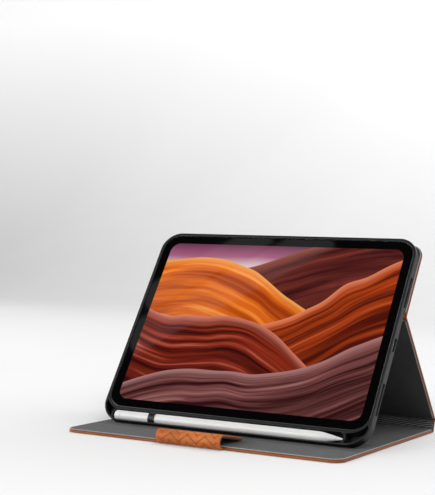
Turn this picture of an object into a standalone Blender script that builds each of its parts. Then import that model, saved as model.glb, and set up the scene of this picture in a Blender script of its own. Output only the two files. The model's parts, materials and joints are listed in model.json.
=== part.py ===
"""Tablet in a leather folio case, opened as a landscape stand, with its stylus.

Metres, +Z up. The front cover lies flat as the base. Its underside is at z = 0, with the
origin in its middle. +X runs along the long side and +Y runs to the rear, where the spine is.
From the spine the lower back panel, called the leg here, rises to a crease on the back of
the tray. The tray holds the tablet and rests its rounded foot on the front cover.
"""

import math

import bpy
from mathutils import Vector

# Fits
CLEARANCE = 0.0003
GLUE_LINE = 0.0002

# Tablet
TABLET_WIDTH = 0.2476
TABLET_HEIGHT = 0.1785
TABLET_DEPTH = 0.0061
TABLET_CORNER = 0.016
HOUSING_WALL = 0.0024
HOUSING_FLOOR = 0.0009
HOUSING_EDGE = 0.0008
HOUSING_RIM = 0.0009
SCREEN_BORDER_SIDE = 0.0089
SCREEN_BORDER_TOP = 0.0090
GLASS_THICKNESS = 0.0007
GLASS_PROUD = 0.0001
GASKET_THICKNESS = 0.0005
DISPLAY_THICKNESS = 0.0010
DISPLAY_BORDER = 0.0010

# Inside the tablet
BATTERY_FROM_SPEAKER = 0.0121
BATTERY_FROM_TOP = 0.02525
BATTERY_GAP = 0.004
BATTERY_CORNER = 0.003
BATTERY_EDGE = 0.0006
BOARD_FROM_SPEAKER = 0.0041
BOARD_WIDTH = 0.040
BOARD_FROM_TOP = 0.03025
BOARD_THICKNESS = 0.0010
SHIELD_WIDTH = 0.028
SHIELD_HEIGHT = 0.060
SHIELD_THICKNESS = 0.0012
SPEAKER_DEPTH = 0.011
SPEAKER_LENGTH = 0.030
SPEAKER_FROM_TOP = 0.04875
SPEAKER_FROM_BOTTOM = 0.03075
GRILLE_SLOT = 0.022
GRILLE_HEIGHT = 0.0012
PORT_Y = -0.0090
PORT_WIDTH = 0.0089
PORT_HEIGHT = 0.0028
PORT_LENGTH = 0.0074
PORT_SHELL = 0.0004
PORT_TONGUE_WIDTH = 0.0062
PORT_TONGUE_HEIGHT = 0.0007
FRONT_CAMERA_SIZE = 0.0050
SIDE_LEVEL = 0.00275

# Rear camera
CAMERA_FROM_SIDE = 0.0133
CAMERA_FROM_TOP = 0.0190
CAMERA_RING_DIAMETER = 0.0128
CAMERA_RING_WALL = 0.0016
CAMERA_RING_HEIGHT = 0.0011
CAMERA_BODY_SIZE = 0.0100
WINDOW_LENGTH = 0.0292
WINDOW_HEIGHT = 0.0166
WINDOW_LENS_OFFSET = 0.0082

# Buttons
BUTTON_LENGTH = 0.0110
BUTTON_HEIGHT = 0.0022
BUTTON_PROUD = 0.0005
BUTTON_TRAVEL = 0.0004
BUTTON_EDGE = 0.0003
BUTTON_FLANGE = 0.0005
BUTTON_FLANGE_DEPTH = 0.0006
SWITCH_DEPTH = 0.0012
POWER_FROM_TOP = 0.02375
VOLUME_UP_FROM_SIDE = 0.0248
VOLUME_PITCH = 0.0140

# Stylus
STYLUS_DIAMETER = 0.0089
STYLUS_FROM_TRAY_LEFT = 0.0124
STYLUS_FROM_TRAY_RIGHT = 0.0218
STYLUS_TAPER = 0.0210
STYLUS_NECK_DIAMETER = 0.0034
NIB_LENGTH = 0.0052
CAP_LENGTH = 0.0080
CAP_PLUG_LENGTH = 0.0050
CAP_ROUNDING = 0.55
NIB_ROUNDING = 0.45
TAPER_EASE = 1.3
BARREL_WALL = 0.0008
STYLUS_CELL_LENGTH = 0.0600
STYLUS_BOARD_LENGTH = 0.0900
STYLUS_BOARD_WIDTH = 0.0064
STYLUS_BOARD_THICKNESS = 0.0010

# Tray
TRAY_WALL = 0.0015
TRAY_FLOOR = 0.0013
TRAY_LIP = 0.0008
TRAY_LIP_OVERHANG = 0.0008
TRAY_BACK_EDGE = 0.0020
TRAY_FRONT_EDGE = 0.0003
TRAY_FOOT_ROUND = 0.0050
TRAY_FOOT_CORNER = 0.0195
TROUGH_FLOOR = 0.0009
TROUGH_WALL = 0.00115
TROUGH_RIB = 0.0013
TROUGH_STOP_GAP = 0.0012
TROUGH_TAIL_GAP = 0.0026
TROUGH_STOP_WALL = 0.0017
RECESS_OUTER_STOP = -14
RECESS_INNER_START = -38
LOOP_WIDTH = 0.0060
LOOP_FROM_STYLUS_TAIL = 0.0382
LOOP_THICKNESS = 0.00085
SIDE_SLOT_HEIGHT = 0.0038
SPEAKER_SLOT_LENGTH = 0.0290
PORT_SLOT_LENGTH = 0.0125
BUTTON_SLOT_MARGIN = 0.0025

# Leather case
LEATHER = 0.0009
BOARD = 0.0010
LINING = 0.0007
PANEL_BESIDE_TRAY = 0.0009
COVER_DEPTH = 0.1925
COVER_CORNER = 0.0100
BACK_CORNER = 0.0110
BACK_BELOW_TRAY_TOP = 0.0005
BOARD_INSET = 0.0012
LINING_INSET = 0.0006
FOLD_GAP = 0.0015
FOLD_SETBACK = 0.0022
CREASE_SETBACK = 0.0040
SPINE_LENGTH = 0.0100
GROOVE_FRONT = 0.0440
GROOVE_PITCH = 0.0330
GROOVE_WIDTH = 0.0024
GROOVE_DEPTH = 0.0003
WAKE_MAGNET_LENGTH = 0.0160
WAKE_MAGNET_WIDTH = 0.0050
WAKE_MAGNET_FROM_EDGE = 0.0120

# Stand angles and places
TILT = math.radians(32.8)
SPINE_ANGLE = math.radians(70.0)
SEAT_FROM_FRONT = 0.0539
CREASE_ABOVE_STYLUS = 0.1165

# Closing flap
FLAP_WIDTH = 0.0610
FLAP_OFFSET = -0.0030
FLAP_LOOP = 0.0052
FLAP_REACH = 0.0386
FLAP_CORNER = 0.0070
FLAP_LEATHER = 0.0007
FLAP_STIFFENER = 0.0005
FLAP_LINING = 0.0004
FLAP_STIFFENER_INSET = 0.0012
FLAP_MAGNET_LENGTH = 0.0260
FLAP_MAGNET_WIDTH = 0.0090
FLAP_MAGNET_FROM_TIP = 0.0080
CLASP_FROM_TOP = 0.0200

# Facets
CORNER_STEPS = 7
EDGE_STEPS = 3
ROUND_STEPS = 20
LOOP_STEPS = 14
SMALLEST_CORNER_SHARE = 0.05
PILL_CORNER_SHARE = 0.4999

# Worked-out sizes
PANEL = LEATHER + BOARD + LINING + 2 * GLUE_LINE
STYLUS_RADIUS = STYLUS_DIAMETER / 2
TROUGH_RADIUS = STYLUS_RADIUS + CLEARANCE
TRAY_DEPTH = TRAY_FLOOR + GLUE_LINE + TABLET_DEPTH + GLUE_LINE + TRAY_LIP
TRAY_HALF_WIDTH = TABLET_WIDTH / 2 + CLEARANCE + TRAY_WALL
PANEL_WIDTH = 2 * (TRAY_HALF_WIDTH + PANEL_BESIDE_TRAY)
SCREEN_WIDTH = TABLET_WIDTH - 2 * SCREEN_BORDER_SIDE
SCREEN_HEIGHT = TABLET_HEIGHT - 2 * SCREEN_BORDER_TOP
SPEAKER_FACE = TABLET_WIDTH / 2 - HOUSING_WALL - CLEARANCE - SPEAKER_DEPTH
SPEAKER_UPPER_Y = TABLET_HEIGHT / 2 - SPEAKER_FROM_TOP
SPEAKER_LOWER_Y = SPEAKER_FROM_BOTTOM - TABLET_HEIGHT / 2
BOARD_X = BOARD_FROM_SPEAKER + BOARD_WIDTH / 2 - SPEAKER_FACE
BOARD_HEIGHT = TABLET_HEIGHT - 2 * BOARD_FROM_TOP
BATTERY_ROOM = SPEAKER_FACE - BATTERY_FROM_SPEAKER - BOARD_X - BOARD_WIDTH / 2
BATTERY_WIDTH = BATTERY_ROOM / 2 - BATTERY_GAP
BATTERY_HEIGHT = TABLET_HEIGHT - 2 * BATTERY_FROM_TOP
POWER_BUTTON_Y = TABLET_HEIGHT / 2 - POWER_FROM_TOP
VOLUME_UP_X = VOLUME_UP_FROM_SIDE - TABLET_WIDTH / 2
VOLUME_DOWN_X = VOLUME_UP_X + VOLUME_PITCH
TRAY_FOOT = TROUGH_RADIUS + TROUGH_WALL
STYLUS_DEPTH = TROUGH_FLOOR + TROUGH_RADIUS
TABLET_LIFT = TROUGH_RADIUS + TROUGH_RIB + CLEARANCE
TRAY_TOP = TABLET_LIFT + TABLET_HEIGHT + CLEARANCE + TRAY_WALL
TRAY_TOP_CORNER = TABLET_CORNER + CLEARANCE + TRAY_WALL
STYLUS_TAIL_X = STYLUS_FROM_TRAY_LEFT - TRAY_HALF_WIDTH
STYLUS_TIP_X = TRAY_HALF_WIDTH - STYLUS_FROM_TRAY_RIGHT
LOOP_X = STYLUS_TAIL_X + LOOP_FROM_STYLUS_TAIL
TROUGH_END_X = STYLUS_TIP_X + TROUGH_STOP_GAP
TROUGH_TAIL_X = STYLUS_TAIL_X - TROUGH_TAIL_GAP
WINDOW_SHIFT = WINDOW_LENGTH / 2 - WINDOW_LENS_OFFSET


def clear_scene():
    for item in list(bpy.data.objects):
        bpy.data.objects.remove(item, do_unlink=True)


def finish(name, colour, roughness, metallic=0.0):
    material = bpy.data.materials.new(name)
    material.use_nodes = True
    shader = material.node_tree.nodes["Principled BSDF"]
    shader.inputs["Base Color"].default_value = (*colour, 1.0)
    shader.inputs["Roughness"].default_value = roughness
    shader.inputs["Metallic"].default_value = metallic
    material.diffuse_color = (*colour, 1.0)
    return material


def frame(name, location, turn=(0.0, 0.0, 0.0), parent=None):
    """An empty that carries pieces."""
    empty = bpy.data.objects.new(name, None)
    bpy.context.scene.collection.objects.link(empty)
    empty.location = location
    empty.rotation_euler = turn
    empty.parent = parent
    return empty


def add_mesh(name, points, faces, look, parent, location=(0.0, 0.0, 0.0)):
    mesh = bpy.data.meshes.new(name)
    mesh.from_pydata([tuple(point) for point in points], [], faces)
    mesh.update()
    mesh.shade_smooth()
    mesh.set_sharp_from_angle(angle=math.radians(35))
    item = bpy.data.objects.new(name, mesh)
    bpy.context.scene.collection.objects.link(item)
    item.parent = parent
    item.location = location
    if look is not None:
        mesh.materials.append(look)
    return item


def loft(name, loops, look, parent, location=(0.0, 0.0, 0.0), ring=False):
    """Skin over equal loops. The ends are capped, or joined to each other in a ring."""
    count = len(loops[0])
    points = [point for loop in loops for point in loop]
    faces = []
    spans = len(loops) if ring else len(loops) - 1
    for step in range(spans):
        low = step * count
        high = (step + 1) % len(loops) * count
        for side in range(count):
            beside = (side + 1) % count
            faces.append((low + side, low + beside, high + beside, high + side))
    if not ring:
        top = (len(loops) - 1) * count
        faces.append(tuple(reversed(range(count))))
        faces.append(tuple(range(top, top + count)))
    return add_mesh(name, points, faces, look, parent, location)


def arc(centre_x, centre_y, radius, start, stop, steps):
    points = []
    for step in range(steps + 1):
        angle = math.radians(start + (stop - start) * step / steps)
        points.append((centre_x + radius * math.cos(angle), centre_y + radius * math.sin(angle)))
    return points


def rounded_rectangle(left, right, bottom, top, corners):
    """Outline as a function of its inset. corners: bottom left, bottom right, top right, top left."""
    def outline(inset=0.0):
        x0, x1, y0, y1 = left + inset, right - inset, bottom + inset, top - inset
        places = ((x0, y0, 1, 1, 180), (x1, y0, -1, 1, 270), (x1, y1, -1, -1, 0), (x0, y1, 1, -1, 90))
        points = []
        for (x, y, inward_x, inward_y, start), corner in zip(places, corners):
            if corner == 0.0:
                points.append((x, y))
                continue
            radius = max(corner - inset, corner * SMALLEST_CORNER_SHARE)
            centre = (x + inward_x * radius, y + inward_y * radius)
            points += arc(*centre, radius, start, start + 90, CORNER_STEPS)
        return points
    return outline


def centred(width, height, corner, x=0.0, y=0.0):
    return rounded_rectangle(x - width / 2, x + width / 2, y - height / 2, y + height / 2, (corner,) * 4)


def pill(width, height, x=0.0, y=0.0):
    return centred(width, height, min(width, height) * PILL_CORNER_SHARE, x, y)


def plate(name, outline, low, high, look, parent, low_edge=0.0, high_edge=0.0, location=(0.0, 0.0, 0.0)):
    """Outline carried from low to high along Z, with its lower and upper edges rounded."""
    levels = []
    if low_edge > 0.0:
        for step in range(EDGE_STEPS + 1):
            angle = math.pi / 2 * step / EDGE_STEPS
            levels.append((low_edge * (1 - math.sin(angle)), low + low_edge * (1 - math.cos(angle))))
    else:
        levels.append((0.0, low))
    if high_edge > 0.0:
        for step in range(EDGE_STEPS + 1):
            angle = math.pi / 2 * step / EDGE_STEPS
            levels.append((high_edge * (1 - math.cos(angle)), high - high_edge * (1 - math.sin(angle))))
    else:
        levels.append((0.0, high))
    loops = [[(x, y, z) for x, y in outline(inset)] for inset, z in levels]
    return loft(name, loops, look, parent, location)


def bar(name, section, left, right, look, parent):
    """Section in Y and Z, counter-clockwise seen from +X, carried along X."""
    loops = [[(x, y, z) for y, z in section] for x in (left, right)]
    return loft(name, loops, look, parent)


def turned(name, profile, look, parent, location=(0.0, 0.0, 0.0), along="X"):
    """Profile of (distance, radius) turned about X or Z, from one end of the axis to the other."""
    loops = []
    for distance, radius in profile:
        loop = []
        for step in range(ROUND_STEPS):
            angle = 2 * math.pi * step / ROUND_STEPS
            first, second = radius * math.cos(angle), radius * math.sin(angle)
            loop.append((distance, first, second) if along == "X" else (first, second, distance))
        loops.append(loop)
    return loft(name, loops, look, parent, location)


def combine(target, tool, operation):
    tool.hide_render = True
    tool.display_type = "WIRE"
    step = target.modifiers.new(tool.name, "BOOLEAN")
    step.operation = operation
    step.solver = "EXACT"
    step.object = tool


def cut(target, tool):
    combine(target, tool, "DIFFERENCE")


def add(target, tool):
    combine(target, tool, "UNION")


def make_frames():
    """Empties on the fold axes, worked out from the stand's seat, tilt and panel sizes."""
    up_tray = Vector((0.0, math.sin(TILT), math.cos(TILT)))
    out_of_tray = Vector((0.0, -math.cos(TILT), math.sin(TILT)))
    foot_drop = (TRAY_FOOT - TRAY_FOOT_ROUND) * math.cos(TILT)
    foot_drop += (STYLUS_DEPTH - TRAY_FOOT_ROUND) * math.sin(TILT) + TRAY_FOOT_ROUND
    stylus = Vector((0.0, SEAT_FROM_FRONT - COVER_DEPTH / 2, PANEL + CLEARANCE + foot_drop))
    behind_stylus = STYLUS_DEPTH + GLUE_LINE + PANEL / 2
    crease = stylus + CREASE_ABOVE_STYLUS * up_tray - behind_stylus * out_of_tray
    rear = Vector((0.0, COVER_DEPTH / 2, PANEL / 2))
    spine_top = rear + SPINE_LENGTH * Vector((0.0, math.cos(SPINE_ANGLE), math.sin(SPINE_ANGLE)))
    leg = crease - spine_top
    leg_angle = math.atan2(leg.z, leg.y)
    frames = {
        "cover": frame("cover_frame", (0.0, 0.0, PANEL / 2)),
        "spine": frame("spine_frame", rear, (SPINE_ANGLE, 0.0, 0.0)),
        "leg": frame("leg_frame", spine_top, (leg_angle, 0.0, 0.0)),
        "tray": frame("tray_frame", crease, (math.pi / 2 - TILT, 0.0, 0.0)),
        "flap": frame("flap_frame", (FLAP_OFFSET, -COVER_DEPTH / 2, 0.0)),
    }
    tray_back = PANEL / 2 + GLUE_LINE
    tablet_place = (0.0, TABLET_LIFT + TABLET_HEIGHT / 2 - CREASE_ABOVE_STYLUS,
                    tray_back + TRAY_FLOOR + GLUE_LINE)
    stylus_place = (0.0, -CREASE_ABOVE_STYLUS, tray_back + STYLUS_DEPTH)
    frames["tablet"] = frame("tablet_frame", tablet_place, parent=frames["tray"])
    frames["stylus"] = frame("stylus_frame", stylus_place, parent=frames["tray"])
    for label, place in (("rear fold", rear), ("spine top", spine_top), ("crease", crease)):
        print("axis", label, [round(value, 6) for value in place])
    print("stylus axis", [round(value, 6) for value in stylus])
    print("angles", [round(math.degrees(a), 4) for a in (SPINE_ANGLE, leg_angle, math.pi / 2 - TILT)])
    return frames, leg.length


def make_looks():
    return {
        "leather": finish("tan_leather", (0.33, 0.115, 0.035), 0.55),
        "board": finish("grey_board", (0.24, 0.22, 0.19), 0.9),
        "lining": finish("microfibre", (0.085, 0.085, 0.088), 0.92),
        "tray": finish("black_tpu", (0.018, 0.018, 0.02), 0.5),
        "aluminium": finish("aluminium", (0.52, 0.53, 0.55), 0.35, 1.0),
        "glass": finish("black_glass", (0.008, 0.008, 0.009), 0.06),
        "display": finish("display", (0.35, 0.07, 0.015), 0.2),
        "foam": finish("foam", (0.02, 0.02, 0.02), 0.9),
        "cell": finish("pouch_cell", (0.05, 0.05, 0.055), 0.45),
        "circuit": finish("circuit_board", (0.02, 0.05, 0.035), 0.5),
        "steel": finish("steel", (0.5, 0.5, 0.5), 0.3, 1.0),
        "lens": finish("lens_glass", (0.01, 0.012, 0.016), 0.04),
        "magnet": finish("magnet", (0.32, 0.32, 0.33), 0.3, 1.0),
        "stylus": finish("white_plastic", (0.82, 0.82, 0.82), 0.25),
        "nib": finish("nib_plastic", (0.72, 0.72, 0.72), 0.4),
    }


def layer_heights():
    """Lower and upper height of leather, board and lining about the panel's middle."""
    bottom = -PANEL / 2
    board = bottom + LEATHER + GLUE_LINE
    lining = board + BOARD + GLUE_LINE
    return (bottom, bottom + LEATHER), (board, board + BOARD), (lining, lining + LINING)


def panel(prefix, parent, looks, start, stop, start_setback, stop_setback, free_corner=0.0):
    """Leather, board and lining between two ends along Y.

    A setback is how far the board and lining stop short of a fold. It is None at a free end,
    where they follow the leather's edge and corners. free_corner rounds the free end.
    """
    half = PANEL_WIDTH / 2
    pieces = []
    names = ("leather", "board", "lining")
    insets = (0.0, BOARD_INSET, LINING_INSET)
    for name, inset, (low, high) in zip(names, insets, layer_heights()):
        corner = max(free_corner - inset, 0.0)
        low_corner = corner if start_setback is None else 0.0
        high_corner = corner if stop_setback is None else 0.0
        low_end = start + inset if start_setback is None else start + (start_setback if inset else 0.0)
        high_end = stop - inset if stop_setback is None else stop - (stop_setback if inset else 0.0)
        outline = rounded_rectangle(-half + inset, half - inset, low_end, high_end,
                                    (low_corner, low_corner, high_corner, high_corner))
        pieces.append(plate(f"{prefix}_{name}", outline, low, high, looks[name], parent))
    return pieces


def fold_bead(name, parent, looks):
    """The rolled leather of a fold, round about its axis."""
    radius = FOLD_GAP - CLEARANCE
    half = PANEL_WIDTH / 2
    turned(name, [(-half, radius), (half, radius)], looks["leather"], parent)


def make_cover(parent, looks):
    front = -COVER_DEPTH / 2
    rear = COVER_DEPTH / 2 - FOLD_GAP
    setback = FOLD_SETBACK - FOLD_GAP
    _, board, lining = panel("cover", parent, looks, front, rear, None, setback, COVER_CORNER)
    top = PANEL / 2
    for number in range(2):
        y = front + GROOVE_FRONT + number * GROOVE_PITCH
        section = ((y - GROOVE_WIDTH / 2, top + GROOVE_DEPTH), (y, top - GROOVE_DEPTH),
                   (y + GROOVE_WIDTH / 2, top + GROOVE_DEPTH))
        cut(lining, bar(f"groove_{number + 1}", section, -PANEL_WIDTH, PANEL_WIDTH, None, parent))
    board_low, board_high = layer_heights()[1]
    x = PANEL_WIDTH / 2 - WAKE_MAGNET_FROM_EDGE
    size = (WAKE_MAGNET_WIDTH, WAKE_MAGNET_LENGTH)
    room = [length + 2 * CLEARANCE for length in size]
    pocket = centred(*room, 0.0, x)
    cut(board, plate("wake_pocket", pocket, board_low - BOARD, board_high + BOARD, None, parent))
    plate("wake_magnet", centred(*size, 0.0, x), board_low, board_high, looks["magnet"], parent)


def make_spine(parent, looks):
    setback = FOLD_SETBACK - FOLD_GAP
    panel("spine", parent, looks, FOLD_GAP, SPINE_LENGTH - FOLD_GAP, setback, setback)
    fold_bead("rear_fold", parent, looks)


def make_leg(parent, looks, length):
    setback = FOLD_SETBACK - FOLD_GAP
    panel("leg", parent, looks, FOLD_GAP, length - FOLD_GAP, setback, CREASE_SETBACK - FOLD_GAP)
    fold_bead("spine_fold", parent, looks)


def camera_place():
    """Middle of the rear lens, from the tablet's middle."""
    return CAMERA_FROM_SIDE - TABLET_WIDTH / 2, TABLET_HEIGHT / 2 - CAMERA_FROM_TOP


def camera_window(name, low, high, parent, from_tablet):
    """Cutter for the pill-shaped opening that the rear camera looks through."""
    x, y = camera_place()
    outline = pill(WINDOW_LENGTH, WINDOW_HEIGHT, x + WINDOW_SHIFT, y + from_tablet)
    return plate(name, outline, low, high, None, parent)


def make_back(parent, looks):
    top = TRAY_TOP - CREASE_ABOVE_STYLUS - BACK_BELOW_TRAY_TOP
    pieces = panel("back", parent, looks, FOLD_GAP, top, CREASE_SETBACK - FOLD_GAP, None, BACK_CORNER)
    from_tablet = TABLET_LIFT + TABLET_HEIGHT / 2 - CREASE_ABOVE_STYLUS
    for piece in pieces:
        cut(piece, camera_window(piece.name + "_window", -PANEL, PANEL, parent, from_tablet))
    fold_bead("crease_fold", parent, looks)
    board_low, board_high = layer_heights()[1]
    y = top - CLASP_FROM_TOP
    room = (FLAP_MAGNET_LENGTH + 2 * CLEARANCE, FLAP_MAGNET_WIDTH + 2 * CLEARANCE)
    outline = centred(*room, 0.0, FLAP_OFFSET, y)
    cut(pieces[1], plate("clasp_pocket", outline, board_low - BOARD, board_high + BOARD, None, parent))
    outline = centred(FLAP_MAGNET_LENGTH, FLAP_MAGNET_WIDTH, 0.0, FLAP_OFFSET, y)
    plate("clasp_plate", outline, board_low, board_high, looks["steel"], parent)


def corner_recess(name, side, parent, low, high):
    """Crescent between the tray's foot corner and the tablet's corner. side is -1 or 1."""
    outer_x = TRAY_HALF_WIDTH - TRAY_FOOT_CORNER
    outer_y = TRAY_FOOT_CORNER - TRAY_FOOT
    outer = TRAY_FOOT_CORNER - TRAY_WALL
    inner_x = TABLET_WIDTH / 2 - TABLET_CORNER
    inner_y = TABLET_LIFT + TABLET_CORNER
    inner = TABLET_CORNER + CLEARANCE + TROUGH_RIB
    start_x = TROUGH_END_X + TROUGH_STOP_WALL
    start = -math.degrees(math.acos(min((start_x - outer_x) / outer, 1.0)))
    points = arc(outer_x, outer_y, outer, start, RECESS_OUTER_STOP, CORNER_STEPS)
    points += arc(inner_x, inner_y, inner, RECESS_INNER_START, -90, CORNER_STEPS)
    points.append((start_x, inner_y - inner))
    points = [(side * x, y - CREASE_ABOVE_STYLUS) for x, y in points]
    if side < 0:
        points.reverse()
    return plate(name, lambda inset: points, low, high, None, parent)


def stylus_section(radius, low_angle, high_angle, middle_y, middle_z):
    return arc(middle_y, middle_z, radius, low_angle, high_angle, ROUND_STEPS)


def make_tray(parent, looks):
    back = PANEL / 2 + GLUE_LINE
    front = back + TRAY_DEPTH
    beyond = front + TRAY_DEPTH
    foot = -CREASE_ABOVE_STYLUS - TRAY_FOOT
    middle_y = TABLET_LIFT + TABLET_HEIGHT / 2 - CREASE_ABOVE_STYLUS
    outline = rounded_rectangle(-TRAY_HALF_WIDTH, TRAY_HALF_WIDTH, foot, TRAY_TOP - CREASE_ABOVE_STYLUS,
                                (TRAY_FOOT_CORNER, TRAY_FOOT_CORNER, TRAY_TOP_CORNER, TRAY_TOP_CORNER))
    tray = plate("tray", outline, back, front, looks["tray"], parent, TRAY_BACK_EDGE, TRAY_FRONT_EDGE)

    heel = [(foot - TRAY_WALL, back + TRAY_FOOT_ROUND), (foot - TRAY_WALL, back - TRAY_WALL),
            (foot + TRAY_FOOT_ROUND, back - TRAY_WALL)]
    heel += arc(foot + TRAY_FOOT_ROUND, back + TRAY_FOOT_ROUND, TRAY_FOOT_ROUND, 270, 180, CORNER_STEPS)
    cut(tray, bar("heel_cut", heel, -PANEL_WIDTH, PANEL_WIDTH, None, parent))

    pocket = centred(TABLET_WIDTH + 2 * CLEARANCE, TABLET_HEIGHT + 2 * CLEARANCE, TABLET_CORNER + CLEARANCE,
                     y=middle_y)
    lip = front - TRAY_LIP
    cut(tray, plate("tablet_pocket", pocket, back + TRAY_FLOOR, lip, None, parent))
    opening = centred(TABLET_WIDTH - 2 * TRAY_LIP_OVERHANG, TABLET_HEIGHT - 2 * TRAY_LIP_OVERHANG,
                      TABLET_CORNER - TRAY_LIP_OVERHANG, y=middle_y)
    cut(tray, plate("tray_opening", opening, lip - TRAY_FLOOR, beyond, None, parent))

    stylus_y = -CREASE_ABOVE_STYLUS
    stylus_z = back + STYLUS_DEPTH
    trough = stylus_section(TROUGH_RADIUS, 180, 360, stylus_y, stylus_z)
    trough += [(stylus_y + TROUGH_RADIUS, beyond), (stylus_y - TROUGH_RADIUS, beyond)]
    cut(tray, bar("trough", trough, TROUGH_TAIL_X, TROUGH_END_X, None, parent))
    recess_floor = back + TROUGH_FLOOR
    for side, name in ((-1, "left_recess"), (1, "right_recess")):
        cut(tray, corner_recess(name, side, parent, recess_floor, beyond))
    tunnel = stylus_section(TROUGH_RADIUS, 0, 360, stylus_y, stylus_z)[:-1]
    cut(tray, bar("stylus_way_out", tunnel, -PANEL_WIDTH, STYLUS_TAIL_X + TROUGH_RADIUS, None, parent))

    loop = stylus_section(TROUGH_RADIUS + LOOP_THICKNESS, 0, 180, stylus_y, stylus_z)
    loop += stylus_section(TROUGH_RADIUS, 180, 0, stylus_y, stylus_z)
    left = LOOP_X - LOOP_WIDTH / 2
    add(tray, bar("stylus_loop", loop, left, left + LOOP_WIDTH, None, parent))

    middle_z = back + TRAY_FLOOR + GLUE_LINE + SIDE_LEVEL
    low = middle_z - SIDE_SLOT_HEIGHT / 2
    for name, x, y, size_x, size_y in side_slots():
        slot = centred(size_x, size_y, 0.0, x, y + middle_y)
        cut(tray, plate(name, slot, low, low + SIDE_SLOT_HEIGHT, None, parent))
    cut(tray, camera_window("tray_window", back - TRAY_FLOOR, back + 2 * TRAY_FLOOR, parent, middle_y))


def side_slots():
    """Openings in the tray's walls, as name, middle from the tablet's middle and size along X and Y."""
    side = TABLET_WIDTH / 2
    through = TABLET_CORNER
    button_slot = BUTTON_LENGTH + 2 * BUTTON_SLOT_MARGIN
    volume_slot = VOLUME_DOWN_X - VOLUME_UP_X + button_slot
    slots = [("port_slot", side, PORT_Y, through, PORT_SLOT_LENGTH),
             ("power_slot", -side, POWER_BUTTON_Y, through, button_slot),
             ("volume_slot", (VOLUME_UP_X + VOLUME_DOWN_X) / 2, TABLET_HEIGHT / 2, volume_slot, through)]
    for name, x, y in speaker_places():
        slots.append((name + "_slot", x, y, through, SPEAKER_SLOT_LENGTH))
    return slots


def speaker_places():
    """The four speakers, as name and middle of their grille on the tablet's short sides."""
    places = []
    for end, x in (("left", -TABLET_WIDTH / 2), ("right", TABLET_WIDTH / 2)):
        for level, y in (("upper", SPEAKER_UPPER_Y), ("lower", SPEAKER_LOWER_Y)):
            places.append((f"speaker_{end}_{level}", x, y))
    return places


def make_tablet(parent, looks):
    """Housing, glass and what lies between them. Z starts at the tablet's back."""
    glass_low = TABLET_DEPTH - GLASS_THICKNESS
    gasket_high = glass_low - GLUE_LINE
    gasket_low = gasket_high - GASKET_THICKNESS
    ledge = gasket_low - GLUE_LINE
    display_low = glass_low - GLUE_LINE - DISPLAY_THICKNESS
    inside_low = HOUSING_FLOOR + GLUE_LINE
    inside_high = display_low - CLEARANCE

    def shell(inset):
        return centred(TABLET_WIDTH - 2 * inset, TABLET_HEIGHT - 2 * inset, TABLET_CORNER - inset)

    housing = plate("tablet_housing", shell(0.0), 0.0, TABLET_DEPTH - GLASS_PROUD, looks["aluminium"], parent,
                    HOUSING_EDGE)
    cut(housing, plate("housing_cavity", shell(HOUSING_WALL), HOUSING_FLOOR, TABLET_DEPTH * 2, None, parent))
    cut(housing, plate("glass_recess", shell(HOUSING_RIM), ledge, TABLET_DEPTH * 2, None, parent))
    outline = shell(HOUSING_RIM + GLUE_LINE)
    plate("cover_glass", outline, glass_low, TABLET_DEPTH, looks["glass"], parent)
    gasket = plate("glass_gasket", outline, gasket_low, gasket_high, looks["foam"], parent)
    cut(gasket, plate("gasket_opening", shell(HOUSING_WALL), 0.0, TABLET_DEPTH * 2, None, parent))
    outline = centred(SCREEN_WIDTH + 2 * DISPLAY_BORDER, SCREEN_HEIGHT + 2 * DISPLAY_BORDER, 0.0)
    plate("display_panel", outline, display_low, display_low + DISPLAY_THICKNESS, looks["display"], parent)

    outline = centred(BOARD_WIDTH, BOARD_HEIGHT, 0.0, BOARD_X)
    board_high = inside_low + BOARD_THICKNESS
    plate("main_board", outline, inside_low, board_high, looks["circuit"], parent)
    outline = centred(SHIELD_WIDTH, SHIELD_HEIGHT, 0.0, BOARD_X)
    shield_low = board_high + GLUE_LINE
    plate("board_shield", outline, shield_low, shield_low + SHIELD_THICKNESS, looks["steel"], parent)
    battery_x = BOARD_X + BOARD_WIDTH / 2 + BATTERY_GAP + BATTERY_WIDTH / 2
    for name in ("battery_left", "battery_right"):
        outline = centred(BATTERY_WIDTH, BATTERY_HEIGHT, BATTERY_CORNER, battery_x)
        plate(name, outline, inside_low, inside_high, looks["cell"], parent, BATTERY_EDGE, BATTERY_EDGE)
        battery_x += BATTERY_WIDTH + BATTERY_GAP

    cavity_top = TABLET_HEIGHT / 2 - HOUSING_WALL - CLEARANCE
    outline = centred(FRONT_CAMERA_SIZE, FRONT_CAMERA_SIZE, 0.0, 0.0, cavity_top - FRONT_CAMERA_SIZE / 2)
    plate("front_camera", outline, inside_low, glass_low - GLUE_LINE, looks["circuit"], parent)
    for name, x, y in speaker_places():
        inward = -math.copysign(1.0, x)
        middle = x + inward * (HOUSING_WALL + CLEARANCE + SPEAKER_DEPTH / 2)
        outline = centred(SPEAKER_DEPTH, SPEAKER_LENGTH, 0.0, middle, y)
        plate(name, outline, inside_low, inside_high, looks["foam"], parent)
        grille = centred(4 * HOUSING_WALL, GRILLE_SLOT, 0.0, x, y)
        low = SIDE_LEVEL - GRILLE_HEIGHT / 2
        cut(housing, plate(name + "_grille", grille, low, low + GRILLE_HEIGHT, None, parent))
    make_rear_camera(parent, looks, housing, inside_low, inside_high)
    make_port(parent, looks, housing)
    return housing


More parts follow.
